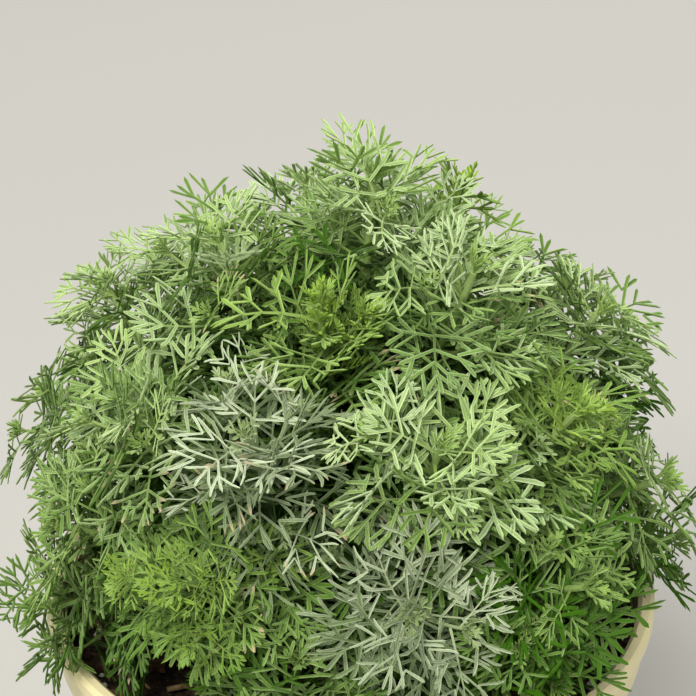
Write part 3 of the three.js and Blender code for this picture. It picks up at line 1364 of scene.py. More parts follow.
@dataclass
class Rootstock:
    """The woody base: the buried stem, the limbs that fork from it, and a twig under each shoot."""

    framework: Framework
    buried: float = 34 * MM
    standing: float = 10 * MM
    stem_radii: tuple = (5.5 * MM, 3.8 * MM)
    limb_radii: tuple = (3.8 * MM, 3.2 * MM, 2.4 * MM)
    twig_radii: tuple = (1.9 * MM, 1.45 * MM)
    # A twig reaches this share of its course into the green shoot, to close the joint.
    overlap: float = 0.01
    rings: int = 14
    limb_sides: int = 18
    twig_sides: int = 8
    furrow: float = 0.16
    furrows: int = 7
    furrow_sway: float = 2.5
    furrow_sways: float = 5
    knobs_round: float = 3
    knobs_along: float = 12
    smooth_below: float = 50
    finish: Bark = Bark()

    def furrowed(self, radii: Sequence[float], seed: float) -> Callable[[float, float], float]:
        """Shapes a furrowed rod.

        Args:
            radii: the radii that it tapers through.
            seed: the start of its furrows and knobs.

        Returns:
            The rule for its radius at a share of the rod and an angle round it.
        """

        def radius_at(share: float, angle: float) -> float:
            """The radius at a share of the rod and an angle round it."""
            place = share * (len(radii) - 1)
            step = min(int(place), len(radii) - 2)
            radius = mix(radii[step], radii[step + 1], place - step)
            sway = self.furrow_sway * sin(self.furrow_sways * share + seed)
            wave = sin(self.furrows * angle + sway)
            turn = (self.knobs_round * cos(angle), self.knobs_round * sin(angle))
            knob = noise.noise(Vector((*turn, self.knobs_along * share + seed)))
            return radius * (1 + self.furrow * 0.5 * wave + self.furrow * knob)

        return radius_at

    def build(self) -> Piece:
        """Makes the rootstock and hands it over.

        Returns:
            The finished piece.
        """
        thick = Rod(self.limb_sides, self.rings)
        thin = Rod(self.twig_sides, self.rings)
        level = self.framework.soil_level
        foot = Course((Vector((0, 0, level - self.buried)), Vector((0, 0, level + self.standing))))
        pieces = [thick.lay(foot, self.furrowed(self.stem_radii, 0))]
        for index, limb in enumerate(self.framework.limbs):
            pieces.append(thick.lay(limb, self.furrowed(self.limb_radii, index + 1)))
        for index, course in enumerate(self.framework.courses):
            twig = course.stretch(0, self.framework.twig_share + self.overlap)
            pieces.append(thin.lay(twig, self.furrowed(self.twig_radii, index + 20)))
        discard([thick.pattern, thin.pattern])
        wood = joined(pieces, "bark_rootstock")
        smooth_by_angle(wood, self.smooth_below)
        return hand_over(wood, self.finish.material(), "bark", "woody_rootstock")


# Leaves


class LobeForm(Enum):
    """The outlines of a leaf's lobes, as half-widths at shares of the length."""

    STALKED = ((0.0, 0.7), (0.66, 0.82), (0.88, 1.0))
    PLAIN = ((0.0, 0.66), (0.7, 1.0), (0.94, 0.7))
    SHORT = ((0.0, 0.66), (0.8, 1.0))


@dataclass(frozen=True)
class Lobe:
    """One narrow lobe: a closed blade with raised margins and a groove, one unit long and two wide."""

    form: LobeForm
    depth: float = 0.42
    groove: float = 0.42
    smooth_below: float = 24

    def build(self) -> Piece:
        """Makes the lobe, lying along +Y from the origin with its groove up.

        Returns:
            The lobe, with its map.
        """
        lobe = settle(primitive("circle", vertices=4, radius=1, fill_type="NGON", rotation=(pi / 2, 0, 0)))
        sections = self.form.value
        edit_all(lobe)
        bpy.ops.transform.resize(value=(sections[0][1], 1, self.depth))
        for (place, half), (next_place, next_half) in zip(sections, sections[1:]):
            step = (0, next_place - place, 0)
            bpy.ops.mesh.extrude_region_move(TRANSFORM_OT_translate={"value": step})
            bpy.ops.transform.resize(value=(next_half / half, 1, 1))
        tip = (0, 1 - sections[-1][0], 0)
        bpy.ops.mesh.extrude_region_move(TRANSFORM_OT_translate={"value": tip})
        bpy.ops.mesh.merge(type="CENTER")
        leave_edit()
        face_outwards(lobe, merge=True)
        # The upper ridge sinks to the level of the margins. Then these rise, and it is the groove.
        corners = corners_of(lobe.data)
        height = np.where(corners[:, 2] > 0.01, 0, corners[:, 2])
        corners[:, 2] = height + self.groove * np.abs(corners[:, 0])
        move_corners(lobe.data, corners)
        self.mark(lobe.data)
        smooth_by_angle(lobe, self.smooth_below)
        return lobe

    def mark(self, mesh: Mesh) -> None:
        """Writes the lobe's own map, which runs across and along it from 0 to 1.

        Args:
            mesh: the lobe's mesh.
        """
        layer = mesh.uv_layers.new(name=LOBE_MAP)
        for loop in mesh.loops:
            x, y, _z = mesh.vertices[loop.vertex_index].co
            across = 0.5 if abs(x) < 1e-3 else (1.0 if x > 0 else 0.0)
            layer.data[loop.index].uv = (across, y)


@dataclass(frozen=True)
class Division:
    """A pair of a leaf's side divisions, in shares of the leaf's length."""

    place: float
    angle: float
    length: float
    forks: tuple = ()


@dataclass(frozen=True)
class LeafPlan:
    """How one kind of leaf is divided, in shares of its length."""

    divisions: tuple
    lobe_half_width: float
    end_from: float
    lobe_form: LobeForm = LobeForm.PLAIN
    curl: float = 0.16
    rib_radius: float = 0.0155
    fork_angle: float = 38.0
    fork_length: float = 0.7
    uplift: float = 14.0
    jitter: float = 7.0


class LeafKind(Enum):
    """The kinds of leaf on the bush."""

    MATURE = LeafPlan(
        divisions=(
            Division(0.35, 78, 0.48, (0.4, 0.66)),
            Division(0.51, 60, 0.46, (0.5,)),
            Division(0.65, 44, 0.38, (0.5,)),
            Division(0.79, 28, 0.27),
        ),
        lobe_half_width=0.0215,
        end_from=0.74,
    )
    SLENDER = LeafPlan(
        divisions=(
            Division(0.34, 70, 0.52, (0.4, 0.66)),
            Division(0.54, 50, 0.5, (0.5,)),
            Division(0.7, 34, 0.38),
        ),
        lobe_half_width=0.0175,
        end_from=0.7,
        fork_angle=30.0,
        curl=0.4,
    )
    OLD = LeafPlan(
        divisions=(
            Division(0.36, 66, 0.42, (0.5,)),
            Division(0.54, 52, 0.38, (0.5,)),
            Division(0.72, 36, 0.28),
        ),
        lobe_half_width=0.02,
        end_from=0.72,
        lobe_form=LobeForm.SHORT,
    )
    YOUNG = LeafPlan(
        divisions=(
            Division(0.18, 56, 0.25, (0.5,)),
            Division(0.32, 54, 0.27, (0.5,)),
            Division(0.46, 50, 0.25),
            Division(0.59, 44, 0.22),
            Division(0.71, 38, 0.18),
            Division(0.82, 32, 0.13),
        ),
        lobe_half_width=0.032,
        end_from=0.8,
        lobe_form=LobeForm.SHORT,
        rib_radius=0.018,
        fork_angle=30.0,
        uplift=24.0,
    )
    TUFT = LeafPlan(
        divisions=(Division(0.3, 40, 0.5), Division(0.55, 30, 0.38)),
        lobe_half_width=0.05,
        end_from=0.5,
        lobe_form=LobeForm.SHORT,
        rib_radius=0.03,
        uplift=16.0,
    )


@dataclass
class LeafPattern:
    """A flat leaf of unit length, lying along +Y from the origin, to be copied and bent."""

    kind: LeafKind
    seed: int
    length_range: tuple = (0.86, 1.12)
    fork_range: tuple = (0.75, 1.05)
    slip: float = 0.015
    roll: float = 25
    rib_foot: float = 1.25
    rib_taper: float = 0.6
    rib_overlap: float = 0.04
    rib_tone: tuple = (0.5, 0, 0, 0.75)
    draw: random.Random = field(init=False)

    def __post_init__(self) -> None:
        """Starts this leaf's own seeded draw."""
        self.draw = random.Random(self.seed)

    def sway(self) -> float:
        """A drawn number from -1 to 1."""
        return self.draw.uniform(-1, 1)

    def lobe(self, shape: Piece, spot: Vector, turn: float, length: float) -> Piece:
        """Copies a lobe to its place on the leaf.

        Args:
            shape: the lobe to copy.
            spot: where it leaves the rib or another lobe.
            turn: its angle from the rib, positive to the left.
            length: its length.

        Returns:
            The copy, with its own share of dryness in its tone.
        """
        plan = self.kind.value
        turned = turn + self.sway() * plan.jitter
        lift = sin(radians(abs(turn))) * plan.uplift + self.sway() * plan.jitter
        place = (
            Matrix.Translation(spot)
            @ Matrix.Rotation(radians(turned), 4, "Z")
            @ Matrix.Rotation(radians(lift), 4, "X")
            @ Matrix.Rotation(radians(self.draw.uniform(-self.roll, self.roll)), 4, "Y")
            @ Matrix.Diagonal((plan.lobe_half_width, length, plan.lobe_half_width, 1))
        )
        twin = copy_of(shape)
        corners = corners_of(twin.data)
        curl = self.sway() * plan.curl * length / plan.lobe_half_width
        corners[:, 0] += curl * corners[:, 1] ** 2
        move_corners(twin.data, corners)
        twin.data.transform(place)
        Tone.write(twin.data, (0.5, 0, self.draw.random(), 0))
        return twin

    def lobes(self, shapes: dict[LobeForm, Piece]) -> Iterator[Piece]:
        """Makes all the lobes of the leaf.

        Args:
            shapes: a lobe of every form.

        Yields:
            The lobes, from the lowest division to the leaf's end.
        """
        plan = self.kind.value
        plain = shapes[plan.lobe_form]
        for division in plan.divisions:
            shape = shapes[LobeForm.STALKED] if division.forks else plain
            for side in (-1, 1):
                length = division.length * self.draw.uniform(*self.length_range)
                turn = side * (division.angle + self.sway() * plan.jitter)
                root = Vector((0, division.place + self.draw.uniform(-self.slip, self.slip), 0))
                yield self.lobe(shape, root, turn, length)
                angle = radians(turn)
                heading = Vector((-sin(angle), cos(angle), 0))
                for fork in division.forks:
                    spot = root + heading * (fork * length)
                    spot.z += fork * length * sin(radians(plan.uplift)) * abs(sin(angle))
                    reach = plan.fork_length * length
                    for hand in (-1, 1):
                        spread = turn + hand * plan.fork_angle
                        yield self.lobe(plain, spot, spread, reach * self.draw.uniform(*self.fork_range))
        yield self.lobe(plain, Vector((0, plan.end_from, 0)), 0, 1 - plan.end_from)

    def rib(self, rod: Rod) -> Piece:
        """Makes the leaf's rib, which tapers towards its end.

        Args:
            rod: the rod that it is a copy of.

        Returns:
            The rib, with its map and its tone.
        """
        plan = self.kind.value
        rib = copy_of(rod.pattern)
        x, y, z = corners_of(rib.data).T
        radius = plan.rib_radius * (self.rib_foot - self.rib_taper * z)
        run = z * (plan.end_from + self.rib_overlap)
        move_corners(rib.data, np.stack([x * radius, run, y * radius], axis=1))
        Tone.write(rib.data, self.rib_tone)
        map_stalk(rib.data)
        return rib

    def build(self, rod: Rod, shapes: dict[LobeForm, Piece]) -> Piece:
        """Makes the leaf from its rib and its lobes.

        Args:
            rod: the rod that the rib is a copy of.
            shapes: a lobe of every form.

        Returns:
            The leaf, with its map and its tone.
        """
        name = f"{self.kind.name.lower()}_pattern_{self.seed}"
        leaf = joined([self.rib(rod), *self.lobes(shapes)], name)
        face_outwards(leaf, merge=False)
        return leaf


@dataclass
class Herbarium:
    """All the leaf patterns, a few of each kind, with their flat corners kept for bending."""

    variants: int = 4
    rib_sides: int = 3
    rib_rings: int = 4
    leaves: dict = field(default_factory=dict)

    def build(self) -> None:
        """Makes the patterns of every kind."""
        rod = Rod(self.rib_sides, self.rib_rings)
        shapes = {form: Lobe(form).build() for form in LobeForm}
        for kind in LeafKind:
            made = [LeafPattern(kind, seed).build(rod, shapes) for seed in range(self.variants)]
            self.leaves[kind] = [(leaf, corners_of(leaf.data), Tone.read(leaf.data)) for leaf in made]
        discard([rod.pattern, *shapes.values()])

    def clear(self) -> None:
        """Removes the patterns once every shoot has its copies."""
        discard([leaf for kind in self.leaves.values() for leaf, _corners, _tone in kind])


@dataclass(frozen=True)
class Pose:
    """How a leaf stands on its stem: its length, lean, arch, roll and sideways sweep."""

    length: float
    lean: float
    arch: float
    roll: float = 0.0
    sweep: float = 0.0
    least_arch: float = 0.5

    def raised(self, straighter: float = 0.85, flatter: float = 0.6, upturn: float = 5) -> "Pose":
        """The pose of the same leaf where it has to rise over the pot's rim or the compost."""
        return replace(self, lean=self.lean * straighter, arch=self.arch * flatter - upturn)

    def bend(self, flat: np.ndarray, point: Vector, along: Vector, radial: Vector) -> np.ndarray:
        """Bends a flat leaf along an arc and sets it on its stem.

        Args:
            flat: the corners of the leaf pattern, one unit long.
            point: where the leaf grows.
            along: the stem's direction there.
            radial: the leaf's own direction, square to the stem.

        Returns:
            The corners of the bent leaf.
        """
        aside, run, lift = (flat * self.length).T
        roll = radians(self.roll)
        turned = aside * cos(roll) - lift * sin(roll)
        lift = aside * sin(roll) + lift * cos(roll)
        turned = turned + tan(radians(self.sweep)) * run * run / self.length
        start = radians(self.lean)
        bend = radians(self.arch if abs(self.arch) > self.least_arch else self.least_arch) / self.length
        angle = start + bend * run
        rise = (np.sin(angle) - sin(start)) / bend + lift * np.sin(angle)
        out = (cos(start) - np.cos(angle)) / bend - lift * np.cos(angle)
        parts = ((rise, along), (out, radial), (turned, radial.cross(along)))
        corners = np.array(point)
        for amount, direction in parts:
            corners = corners + np.outer(amount, np.array(direction))
        return corners


@dataclass(frozen=True)
class Look:
    """A leaf's colour: its painted light and shade, its youth and how far its tips have dried."""

    lightness: float
    youth: float
    dryness: float = 0.0


# Shoots


@dataclass(frozen=True)
class Style:
    """What sets one kind of shoot apart, in its names, its finish and its leaves.

    The youths say how young its leaves look, from 0 to 1, at its tip and in its buds.
    """

    name: str
    slot: str
    finish: DownyLeaf
    tip_youth: float
    bud_youth: float = 0.55
    spent_chance: float = 0.02
    grown_leaf: LeafKind = LeafKind.MATURE


class Foliage(Enum):
    """The looks of the shoots: ordinary, bright with young leaves, or silver with down."""

    LEAFY = Style("leafy", "mature_leaf", DownyLeaf("downy_mature_leaf", body=0x8FAE5E), tip_youth=0.25)
    YOUNG = Style(
        "young", "young_leaf", DownyLeaf("downy_young_leaf", body=0x90B25C), tip_youth=0.5, bud_youth=0.9
    )
    SILVER = Style(
        "silver",
        "silver_leaf",
        DownyLeaf("downy_silver_leaf", body=0xA6B290, deep=0x3A581C, stalk=0xAAB688, sheen=0.12),
        tip_youth=0.0,
        spent_chance=0.08,
        grown_leaf=LeafKind.SLENDER,
    )


@dataclass(frozen=True)
class Spiral:
    """A spiral of leaves along a stretch of a stem, each pair of values from its foot to its top.

    Its youth is given only where the leaves are younger than the rest of the shoot. The rows below the
    share old_below bear old leaves. The unrest multiplies how far each leaf strays from the rule.
    """

    kind: LeafKind
    count: int
    along: tuple
    length: tuple
    lean: tuple
    arch: tuple
    crowding: float = 0.85
    tapering: float = 4.0
    # The lightness is painted light and shade, from the foot to the top: lower leaves are painted darker.
    lightness: tuple = (0.1, 0.85)
    youth: tuple = ()
    unrest: float = 1.0
    old_below: float = 0.0
    spent_chance: float = 0.0


# The inner spiral's leaves are painted darkest, as painted shade inside the crown.
INNER = Spiral(
    kind=LeafKind.OLD,
    count=26,
    along=(0.14, 0.92),
    length=(26 * MM, 28 * MM),
    lean=(80, 70),
    arch=(26, 30),
    crowding=1.0,
    lightness=(0.0, 0.5),
    unrest=1.6,
    spent_chance=0.08,
)
MAIN = Spiral(
    kind=LeafKind.MATURE,
    count=12,
    along=(0.05, 0.97),
    length=(32 * MM, 20 * MM),
    lean=(84, 62),
    arch=(22, 30),
    tapering=2.5,
    lightness=(0.15, 1.15),
    old_below=0.2,
)
SIDE = Spiral(
    kind=LeafKind.MATURE,
    count=4,
    along=(0.3, 0.97),
    length=(27 * MM, 17 * MM),
    lean=(80, 60),
    arch=(24, 28),
    tapering=2.0,
    lightness=(0.3, 1.0),
    unrest=1.3,
    old_below=0.2,
)
PLUME = Spiral(
    kind=LeafKind.YOUNG,
    count=18,
    along=(0.35, 1.0),
    length=(19 * MM, 12 * MM),
    lean=(60, 20),
    arch=(-14, 8),
    tapering=1.0,
    lightness=(0.7, 1.0),
    youth=(0.7, 1.0),
    unrest=0.6,
)
SIDE_PLUME = replace(
    PLUME, count=8, along=(0.3, 1.0), length=(15 * MM, 9 * MM), lean=(60, 22), arch=(-10, 8), unrest=0.8
)
ROSETTE = Spiral(
    kind=LeafKind.MATURE,
    count=12,
    along=(0.5, 1.0),
    length=(24 * MM, 12 * MM),
    lean=(78, 24),
    arch=(-2, 10),
    tapering=1.2,
    lightness=(0.4, 0.9),
    youth=(0.2, 0.9),
    unrest=0.7,
)
SIDE_ROSETTE = replace(ROSETTE, count=6, along=(0.35, 1.0), length=(18 * MM, 10 * MM), unrest=0.9)


@dataclass(frozen=True)
class Straying:
    """How far the leaves of a spiral stray from its rule, in degrees, shares or parts of a tone."""

    length: tuple = (0.82, 1.08)
    lean: float = 12
    arch: float = 14
    roll: float = 20
    sweep: float = 16
    place: float = 0.02
    turn: float = 16
    youth: tuple = (-0.1, 0.14)
    lightness: float = 0.22


@dataclass(frozen=True)
class Bud:
    """The tuft of small upright leaves at a stem's tip, its leans from the outside to the middle."""

    leaves: int = 6
    place: float = 0.995
    length: float = 10 * MM
    least: float = 0.6
    lean: tuple = (36, 6)
    lean_jitter: float = 6
    arch: float = 14
    # The painted light of the bud's leaves.
    lightness: float = 0.9
    side_scale: float = 0.75


@dataclass(frozen=True)
class Tuft:
    """The short leaves in a leaf's axil, and the places along a stem that have them."""

    places: tuple = (0.2, 0.45, 0.65, 0.82)
    leaves: int = 3
    length: float = 10 * MM
    length_range: tuple = (0.8, 1.3)
    lean: float = 44
    lean_jitter: float = 14
    arch: float = 20
    roll_jitter: float = 30
    spread: float = 34


@dataclass(frozen=True)
class SideShoots:
    """Where a shoot's side shoots leave it, and how they turn to grow beside it."""

    places: tuple = (0.08, 0.28, 0.48, 0.68)
    length: float = 27 * MM
    length_range: tuple = (0.7, 1.15)
    top_length: float = 0.75
    first_turn: float = 40
    young_from: float = 0.4
    # The ways to the knee and on to the end, as parts outwards, along the stem and up, and the
    # shares of the length that they take.
    knee_way: tuple = (0.75, 0.5)
    end_way: tuple = (0.5, 0.65, 0.2)
    knee_share: float = 0.45
    end_share: float = 0.6

    def course(self, stem: Course, place: float, heading: float, length: float) -> Course:
        """Finds the course of one side shoot.

        Args:
            stem: the course of the shoot that bears it.
            place: the share of that course where it starts.
            heading: its heading round the stem.
            length: its length.

        Returns:
            The course.
        """
        point, along, normal, _side = stem.frame(place)
        radial = Matrix.Rotation(radians(heading), 3, along) @ normal
        out, onwards = self.knee_way
        knee = point + (radial * out + along * onwards) * length * self.knee_share
        out, onwards, rise = self.end_way
        end = knee + (radial * out + along * onwards + UP * rise) * length * self.end_share
        return Course((point, knee, end))


@dataclass(frozen=True)
class CrownShade:
    """The shade inside the bush: deeper from its outside to its middle, and towards its foot.

    Its depths are shares of the crown, and the shelter's ones are shares of its height.
    """

    soil_level: float
    height: float
    radius: float = 90 * MM
    dark_from: float = 0.62
    light_from: float = 0.98
    sheltered_below: float = 0.62
    shelter_shade: float = 0.22

    def deepen(self, mesh: Mesh) -> None:
        """Deepens the green of a shoot's leaves where little light reaches them.

        Args:
            mesh: the shoot's mesh.
        """
        corners = corners_of(mesh)
        radius = np.hypot(corners[:, 0], corners[:, 1]) / self.radius
        height = (corners[:, 2] - self.soil_level) / self.height
        light = smooth_step(self.dark_from, self.light_from, np.hypot(radius, height))
        shelter = np.clip(height / self.sheltered_below, 0, 1)
        tone = Tone.read(mesh)
        tone[:, 0] *= light * mix(self.shelter_shade, 1.0, shelter)
        Tone.write(mesh, tone)


@dataclass
class Shoot:
    """One green shoot: its stem, its leaves, its side shoots and the buds at their ends.

    Its own course is the green part of the whole one, whose foot is wood.
    """

    number: int
    foliage: Foliage
    whole: Course
    course: Course
    herbarium: Herbarium
    rods: dict[int, Rod]
    compost: Compost
    shade: CrownShade
    crest: Spiral = PLUME
    side_crest: Spiral = SIDE_PLUME
    fullness: float = 1.0
    # The painted light of the whole shoot: above 0 its leaves are painted lighter, below 0 darker, as painted
    # shade; the jitter spreads it at random.
    exposure: float = 0.0
    exposure_jitter: float = 0.1
    upright: float = 0.55
    attempts: int = 6
    step_aside: float = 22.0
    stem_sides: int = 8
    side_sides: int = 4
    stem_radii: tuple = (1.4 * MM, 0.9 * MM)
    side_radii: tuple = (0.8 * MM, 0.5 * MM)
    stem_tone: tuple = (0.8, 0.1, 0, 1)
    spent_dryness: float = 1.25
    tips_from: float = 0.4
    # How far the lowest leaf of each spiral is turned from one shoot to the next.
    inner_turn: float = 20
    main_turn: float = 75
    crest_turn: float = 50
    main_end: float = 0.66
    straying: Straying = Straying()
    buds: Bud = Bud()
    tufts: Tuft = Tuft()
    sides: SideShoots = SideShoots()
    pieces: list = field(default_factory=list)
    draw: random.Random = field(init=False)
    lightness: float = field(init=False)
    rise: float = field(init=False)

    def __post_init__(self) -> None:
        """Starts this shoot's own seeded draw, and settles its painted light and how upright it is."""
        self.draw = random.Random(self.number)
        self.lightness = self.exposure + self.jitter(self.exposure_jitter)
        self.rise = max(self.course.heading(1.0).z, 0.0) ** 3

    def jitter(self, amount: float) -> float:
        """A drawn number from -amount to amount."""
        return self.draw.uniform(-amount, amount)

    def stem(self, course: Course, radii: Sequence[float], sides: int) -> None:
        """Lays a downy stem along a course.

        Args:
            course: the curve that it follows.
            radii: its radius at its foot and at its tip.
            sides: how many sides it has.
        """
        stem = self.rods[sides].lay(course, lambda share, _angle: mix(*radii, share))
        Tone.write(stem.data, self.stem_tone)
        map_stalk(stem.data)
        self.pieces.append(stem)

    def look(self, spiral: Spiral, row: float) -> Look:
        """Draws a leaf's colour.

        Args:
            spiral: the spiral that it belongs to.
            row: its row there, as a share.

        Returns:
            The colour.
        """
        style = self.foliage.value
        if spiral.youth:
            youth = mix(*spiral.youth, row)
        else:
            youth = style.tip_youth * smooth_step(self.tips_from, 1.0, row)
        youth += self.draw.uniform(*self.straying.youth)
        # The painted light and shade: by the leaf's row, the shoot's own painted light and a random spread.
        lightness = mix(*spiral.lightness, row) + self.lightness + self.jitter(self.straying.lightness)
        is_spent = self.draw.random() < max(style.spent_chance, spiral.spent_chance)
        dryness = self.spent_dryness if is_spent else 0
        return Look(min(max(lightness, 0), 1), min(max(youth, 0), 1), dryness)

    def leaf(
        self, course: Course, share: float, heading: float, kind: LeafKind, pose: Pose, look: Look
    ) -> None:
        """Grows one leaf, or none where the pot and the compost leave no room for it.

        Args:
            course: the stem's course.
            share: how far along the stem the leaf grows.
            heading: its heading round the stem.
            kind: its kind.
            pose: how it stands, unless it has to rise over the rim.
            look: its colour.
        """
        point, along, normal, _side = course.frame(share)
        pattern, flat, tone = self.draw.choice(self.herbarium.leaves[kind])
        for _attempt in range(self.attempts):
            radial = Matrix.Rotation(radians(heading), 3, along) @ normal
            corners = pose.bend(flat, point, along, radial)
            if not self.compost.blocks(corners):
                break
            heading += self.step_aside
            pose = pose.raised()
        else:
            return
        leaf = copy_of(pattern)
        move_corners(leaf.data, corners)
        own = tone.copy()
        own[:, 0] = look.lightness
        own[:, 1] = look.youth
        own[:, 2] = np.clip(own[:, 2] * look.dryness, 0, 1)
        Tone.write(leaf.data, own)
        self.pieces.append(leaf)

    def kind(self, spiral: Spiral, row: float) -> LeafKind:
        """Chooses the kind of leaf in a row of a spiral.

        Args:
            spiral: the spiral.
            row: the row, as a share.

        Returns:
            The kind.
        """
        if row < spiral.old_below:
            return LeafKind.OLD
        return self.foliage.value.grown_leaf if spiral.kind is LeafKind.MATURE else spiral.kind

    def grow(self, spiral: Spiral, course: Course, first: float) -> None:
        """Grows a spiral of leaves along a course, smaller and more upright towards its tip.

        Args:
            spiral: the values of the spiral.
            course: the stem's course.
            first: the heading of the lowest leaf.
        """
        wild = spiral.unrest
        stray = self.straying
        count = round(spiral.count * self.fullness)
        for index in range(count):
            row = index / (count - 1)
            length = mix(*spiral.length, row**spiral.tapering) * self.draw.uniform(*stray.length)
            lean = mix(*spiral.lean, row**2) * mix(1.0, self.upright, row * self.rise)
            pose = Pose(
                length,
                lean + self.jitter(stray.lean) * wild,
                mix(*spiral.arch, row) + self.jitter(stray.arch) * wild,
                self.jitter(stray.roll) * wild,
                self.jitter(stray.sweep) * wild,
            )
            share = mix(*spiral.along, row**spiral.crowding) + self.jitter(stray.place)
            heading = first + GOLDEN_TURN * index + self.jitter(stray.turn) * wild
            self.leaf(course, share, heading, self.kind(spiral, row), pose, self.look(spiral, row))

    def bud(self, course: Course, scale: float) -> None:
        """Closes a stem's tip with a tuft of small upright leaves.

        Args:
            course: the stem's course.
            scale: the size of the bud, where the one on the main stem is 1.
        """
        form = self.buds
        for index in range(form.leaves):
            inner = index / form.leaves
            length = form.length * scale * mix(1.0, form.least, inner)
            pose = Pose(length, mix(*form.lean, inner) + self.jitter(form.lean_jitter), form.arch)
            youth = self.foliage.value.bud_youth * mix(form.least, 1.0, inner)
            look = Look(form.lightness, youth)
            self.leaf(course, form.place, GOLDEN_TURN * index, LeafKind.TUFT, pose, look)

    def tuft(self, course: Course, share: float, heading: float) -> None:
        """Grows a tuft of short leaves, as in a leaf's axil.

        Args:
            course: the stem's course.
            share: how far along the stem the tuft grows.
            heading: its heading round the stem.
        """
        form = self.tufts
        for index in range(form.leaves):
            length = form.length * self.draw.uniform(*form.length_range)
            lean = form.lean + self.jitter(form.lean_jitter)
            pose = Pose(length, lean, form.arch, self.jitter(form.roll_jitter))
            turn = heading + form.spread * (index - 1)
            self.leaf(course, share, turn, LeafKind.TUFT, pose, self.look(SIDE, share))

    def side_shoots(self) -> None:
        """Grows the side shoots, fewer of them where the shoot is sparse."""
        form = self.sides
        for index, place in enumerate(form.places[: round(len(form.places) * self.fullness)]):
            heading = GOLDEN_TURN * (2 * index + self.number) + form.first_turn
            length = form.length * self.draw.uniform(*form.length_range) * mix(1.0, form.top_length, place)
            course = form.course(self.course, place, heading, length)
            self.stem(course, self.side_radii, self.side_sides)
            is_young = self.foliage is Foliage.YOUNG and place > form.young_from
            self.grow(self.side_crest if is_young else SIDE, course, heading)
            self.bud(course, self.buds.side_scale)

    def build(self, finish: Material) -> Piece:
        """Makes the shoot and hands it over.

        Args:
            finish: the material of its kind of foliage.

        Returns:
            The finished piece.
        """
        is_young = self.foliage is Foliage.YOUNG
        self.stem(self.course, self.stem_radii, self.stem_sides)
        self.grow(INNER, self.whole, self.inner_turn * self.number)
        main_course = self.course.stretch(0, self.main_end) if is_young else self.course
        self.grow(MAIN, main_course, self.main_turn * self.number)
        if is_young:
            self.grow(self.crest, self.course, self.crest_turn * self.number)
        self.bud(self.course, scale=1.0)
        for index, place in enumerate(self.tufts.places):
            self.tuft(self.course, place, GOLDEN_TURN * (index + self.number))
        self.side_shoots()
        style = self.foliage.value
        shoot = joined(self.pieces, f"{style.name}_spray_{self.number:02d}")
        self.shade.deepen(shoot.data)
        return hand_over(shoot, finish, style.slot, f"{style.name}_shoot_{self.number:02d}")


@dataclass
class Bush:
    """All the shoots of the bush, numbered from the leader down."""

    framework: Framework
    herbarium: Herbarium
    compost: Compost
    young: tuple = (2, 5, 15, 18, 22, 27)
    rosettes: tuple = (15, 22, 27)
    silver: tuple = (13, 23)
    sparse: tuple = (25, 26)
    dense: tuple = (7, 9, 10, 11, 18, 19)
    # Shoots painted darker, as painted shade, and shoots painted lighter, as painted light.
    shaded: tuple = (16, 24, 26, 27, 32)
    painted_lighter: tuple = (5, 14, 18, 28)
    sparse_share: float = 0.8
    dense_share: float = 1.15
    # How much lighter and darker those shoots are painted.
    painted_lightening: float = 0.24
    shading: float = 0.45
    joint_gap: float = 0.4 * MM
    stem_rings: int = 10

    def fullness(self, number: int) -> float:
        """The share of the usual leaves that a shoot bears."""
        if number in self.sparse:
            return self.sparse_share
        return self.dense_share if number in self.dense else 1.0

    def foliage(self, number: int) -> Foliage:
        """The look of the shoot with a number."""
        if number in self.young:
            return Foliage.YOUNG
        return Foliage.SILVER if number in self.silver else Foliage.LEAFY

    def build(self) -> Iterator[Piece]:
        """Makes the shoots, one after the other.

        Yields:
            Each finished shoot.
        """
        finishes = {foliage: foliage.value.finish.material() for foliage in Foliage}
        rods = {sides: Rod(sides, self.stem_rings) for sides in (Shoot.stem_sides, Shoot.side_sides)}
        shade = CrownShade(self.compost.level, self.framework.crown_height)
        for number, whole in enumerate(self.framework.courses, 1):
            leafy = whole.stretch(self.framework.twig_share, 1)
            has_rosette = number in self.rosettes
            shoot = Shoot(
                number=number,
                foliage=self.foliage(number),
                whole=whole,
                course=leafy.stretch(self.joint_gap / leafy.length(), 1),
                herbarium=self.herbarium,
                rods=rods,
                compost=self.compost,
                shade=shade,
                crest=ROSETTE if has_rosette else PLUME,
                side_crest=SIDE_ROSETTE if has_rosette else SIDE_PLUME,
                fullness=self.fullness(number),
                exposure=self.painted_lightening * (number in self.painted_lighter) - self.shading * (number in self.shaded),
            )
            yield shoot.build(finishes[shoot.foliage])
        discard([rod.pattern for rod in rods.values()])


# Studio


@dataclass(frozen=True)
class Lamp:
    """A square soft light that faces the bush: its place, size in metres, power in watts and colour."""

    name: str
    place: Vector
    size: float
    power: float
    colour: int

    def build(self, target: Vector) -> None:
        """Adds the light.

        Args:
            target: the point that it faces.
        """
        lamp = bpy.data.lights.new(self.name, "AREA")
        lamp.size = self.size
        lamp.energy = self.power
        lamp.color = linear(self.colour)[:3]
        aim(bpy.data.objects.new(self.name, lamp), self.place, target - self.place)


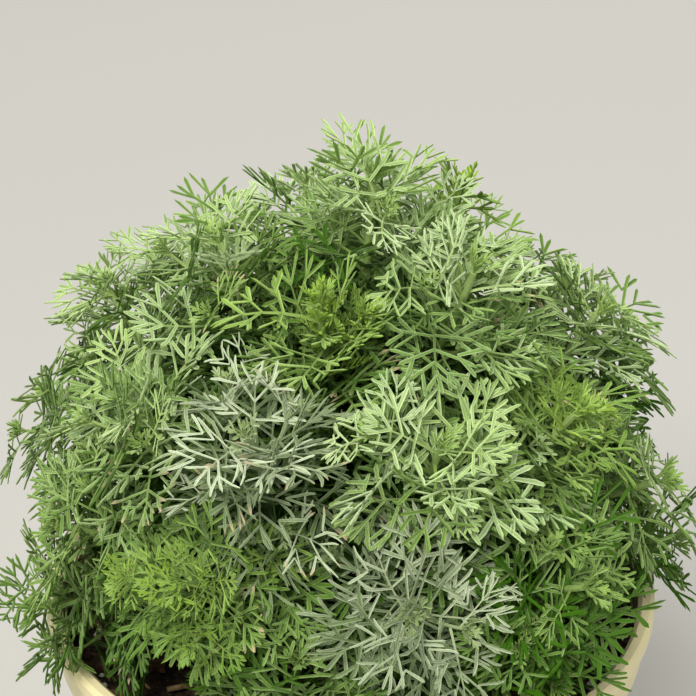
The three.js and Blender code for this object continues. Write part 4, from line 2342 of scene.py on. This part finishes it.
@dataclass
class Studio:
    """A pale floor, soft light and a camera that looks down on the bush."""

    elevation: float = 30.0
    distance: float = 0.75
    frame_width: float = 195 * MM
    sensor: float = 36.0
    near_limit: float = 10 * MM
    pot_centre: Vector = Vector((-0.6 * MM, 0, 135 * MM))
    raise_aim: float = 65 * MM
    lamps: tuple[Lamp, ...] = (
        Lamp("key_light", Vector((-0.56, -1.36, 2.0)), size=1.1, power=73, colour=0xFFFCF6),
        Lamp("fill_light", Vector((1.5, -0.6, 1.3)), size=1.5, power=9, colour=0xFBFBFA),
        Lamp("back_light", Vector((0.4, 1.6, 1.5)), size=1.5, power=19, colour=0xFFFDF8),
    )
    sky_colour: int = 0xF8F8F2
    sky_strength: float = 0.39
    floor_colour: int = 0xB4B3AF
    floor_roughness: float = 0.9
    floor_size: float = 6.0

    def camera(self) -> None:
        """Sets up the camera."""
        tilt = radians(self.elevation)
        ahead = Vector((0, cos(tilt), -sin(tilt)))
        above = Vector((0, sin(tilt), cos(tilt)))
        lens = bpy.data.cameras.new("camera")
        lens.sensor_width = self.sensor
        lens.lens = self.sensor * self.distance / self.frame_width
        lens.clip_start = self.near_limit
        camera = bpy.data.objects.new("camera", lens)
        aim(camera, self.pot_centre + above * self.raise_aim - ahead * self.distance, ahead)
        bpy.context.scene.camera = camera

    def floor(self) -> None:
        """Lays the floor."""
        floor = name_it(settle(primitive("plane", size=self.floor_size)), "studio_floor")
        paint = {"Base Color": linear(self.floor_colour), "Roughness": self.floor_roughness}
        floor.data.materials.append(Shading("pale_floor").finish(paint))

    def sky(self) -> None:
        """Sets up the soft light from all sides."""
        world = bpy.data.worlds.new("soft_sky")
        world.use_nodes = True
        sky = world.node_tree.nodes["Background"]
        sky.inputs["Color"].default_value = linear(self.sky_colour)
        sky.inputs["Strength"].default_value = self.sky_strength
        bpy.context.scene.world = world

    def build(self) -> None:
        """Sets up the whole studio."""
        self.camera()
        self.floor()
        for lamp in self.lamps:
            lamp.build(self.pot_centre)
        self.sky()
        bpy.context.scene.view_settings.view_transform = "Standard"


def aim(holder: Piece, place: Vector, direction: Vector) -> None:
    """Puts a camera or a light in the scene.

    Args:
        holder: its object.
        place: where it stands.
        direction: where it looks.
    """
    holder.location = place
    holder.rotation_mode = "QUATERNION"
    holder.rotation_quaternion = direction.to_track_quat("-Z", "Y")
    bpy.context.scene.collection.objects.link(holder)


def report(piece: Piece) -> None:
    """Logs a finished piece and how many triangles it has."""
    piece.data.calc_loop_triangles()
    log.info("%s: %d triangles", piece.name, len(piece.data.loop_triangles))


def main() -> None:
    """Builds the studio and every piece of the plant in its pot, and reports each piece."""
    logging.basicConfig(level=logging.INFO, format="%(message)s")
    Studio().build()
    pot = Pot()
    report(pot.build())
    compost = Compost(pot)
    report(compost.build())
    for heap in Litter(compost).build():
        report(heap)
    framework = Framework(soil_level=compost.level)
    framework.build()
    report(Rootstock(framework).build())
    herbarium = Herbarium()
    herbarium.build()
    for shoot in Bush(framework, herbarium, compost).build():
        report(shoot)
    herbarium.clear()


if __name__ == "__main__":
    main()
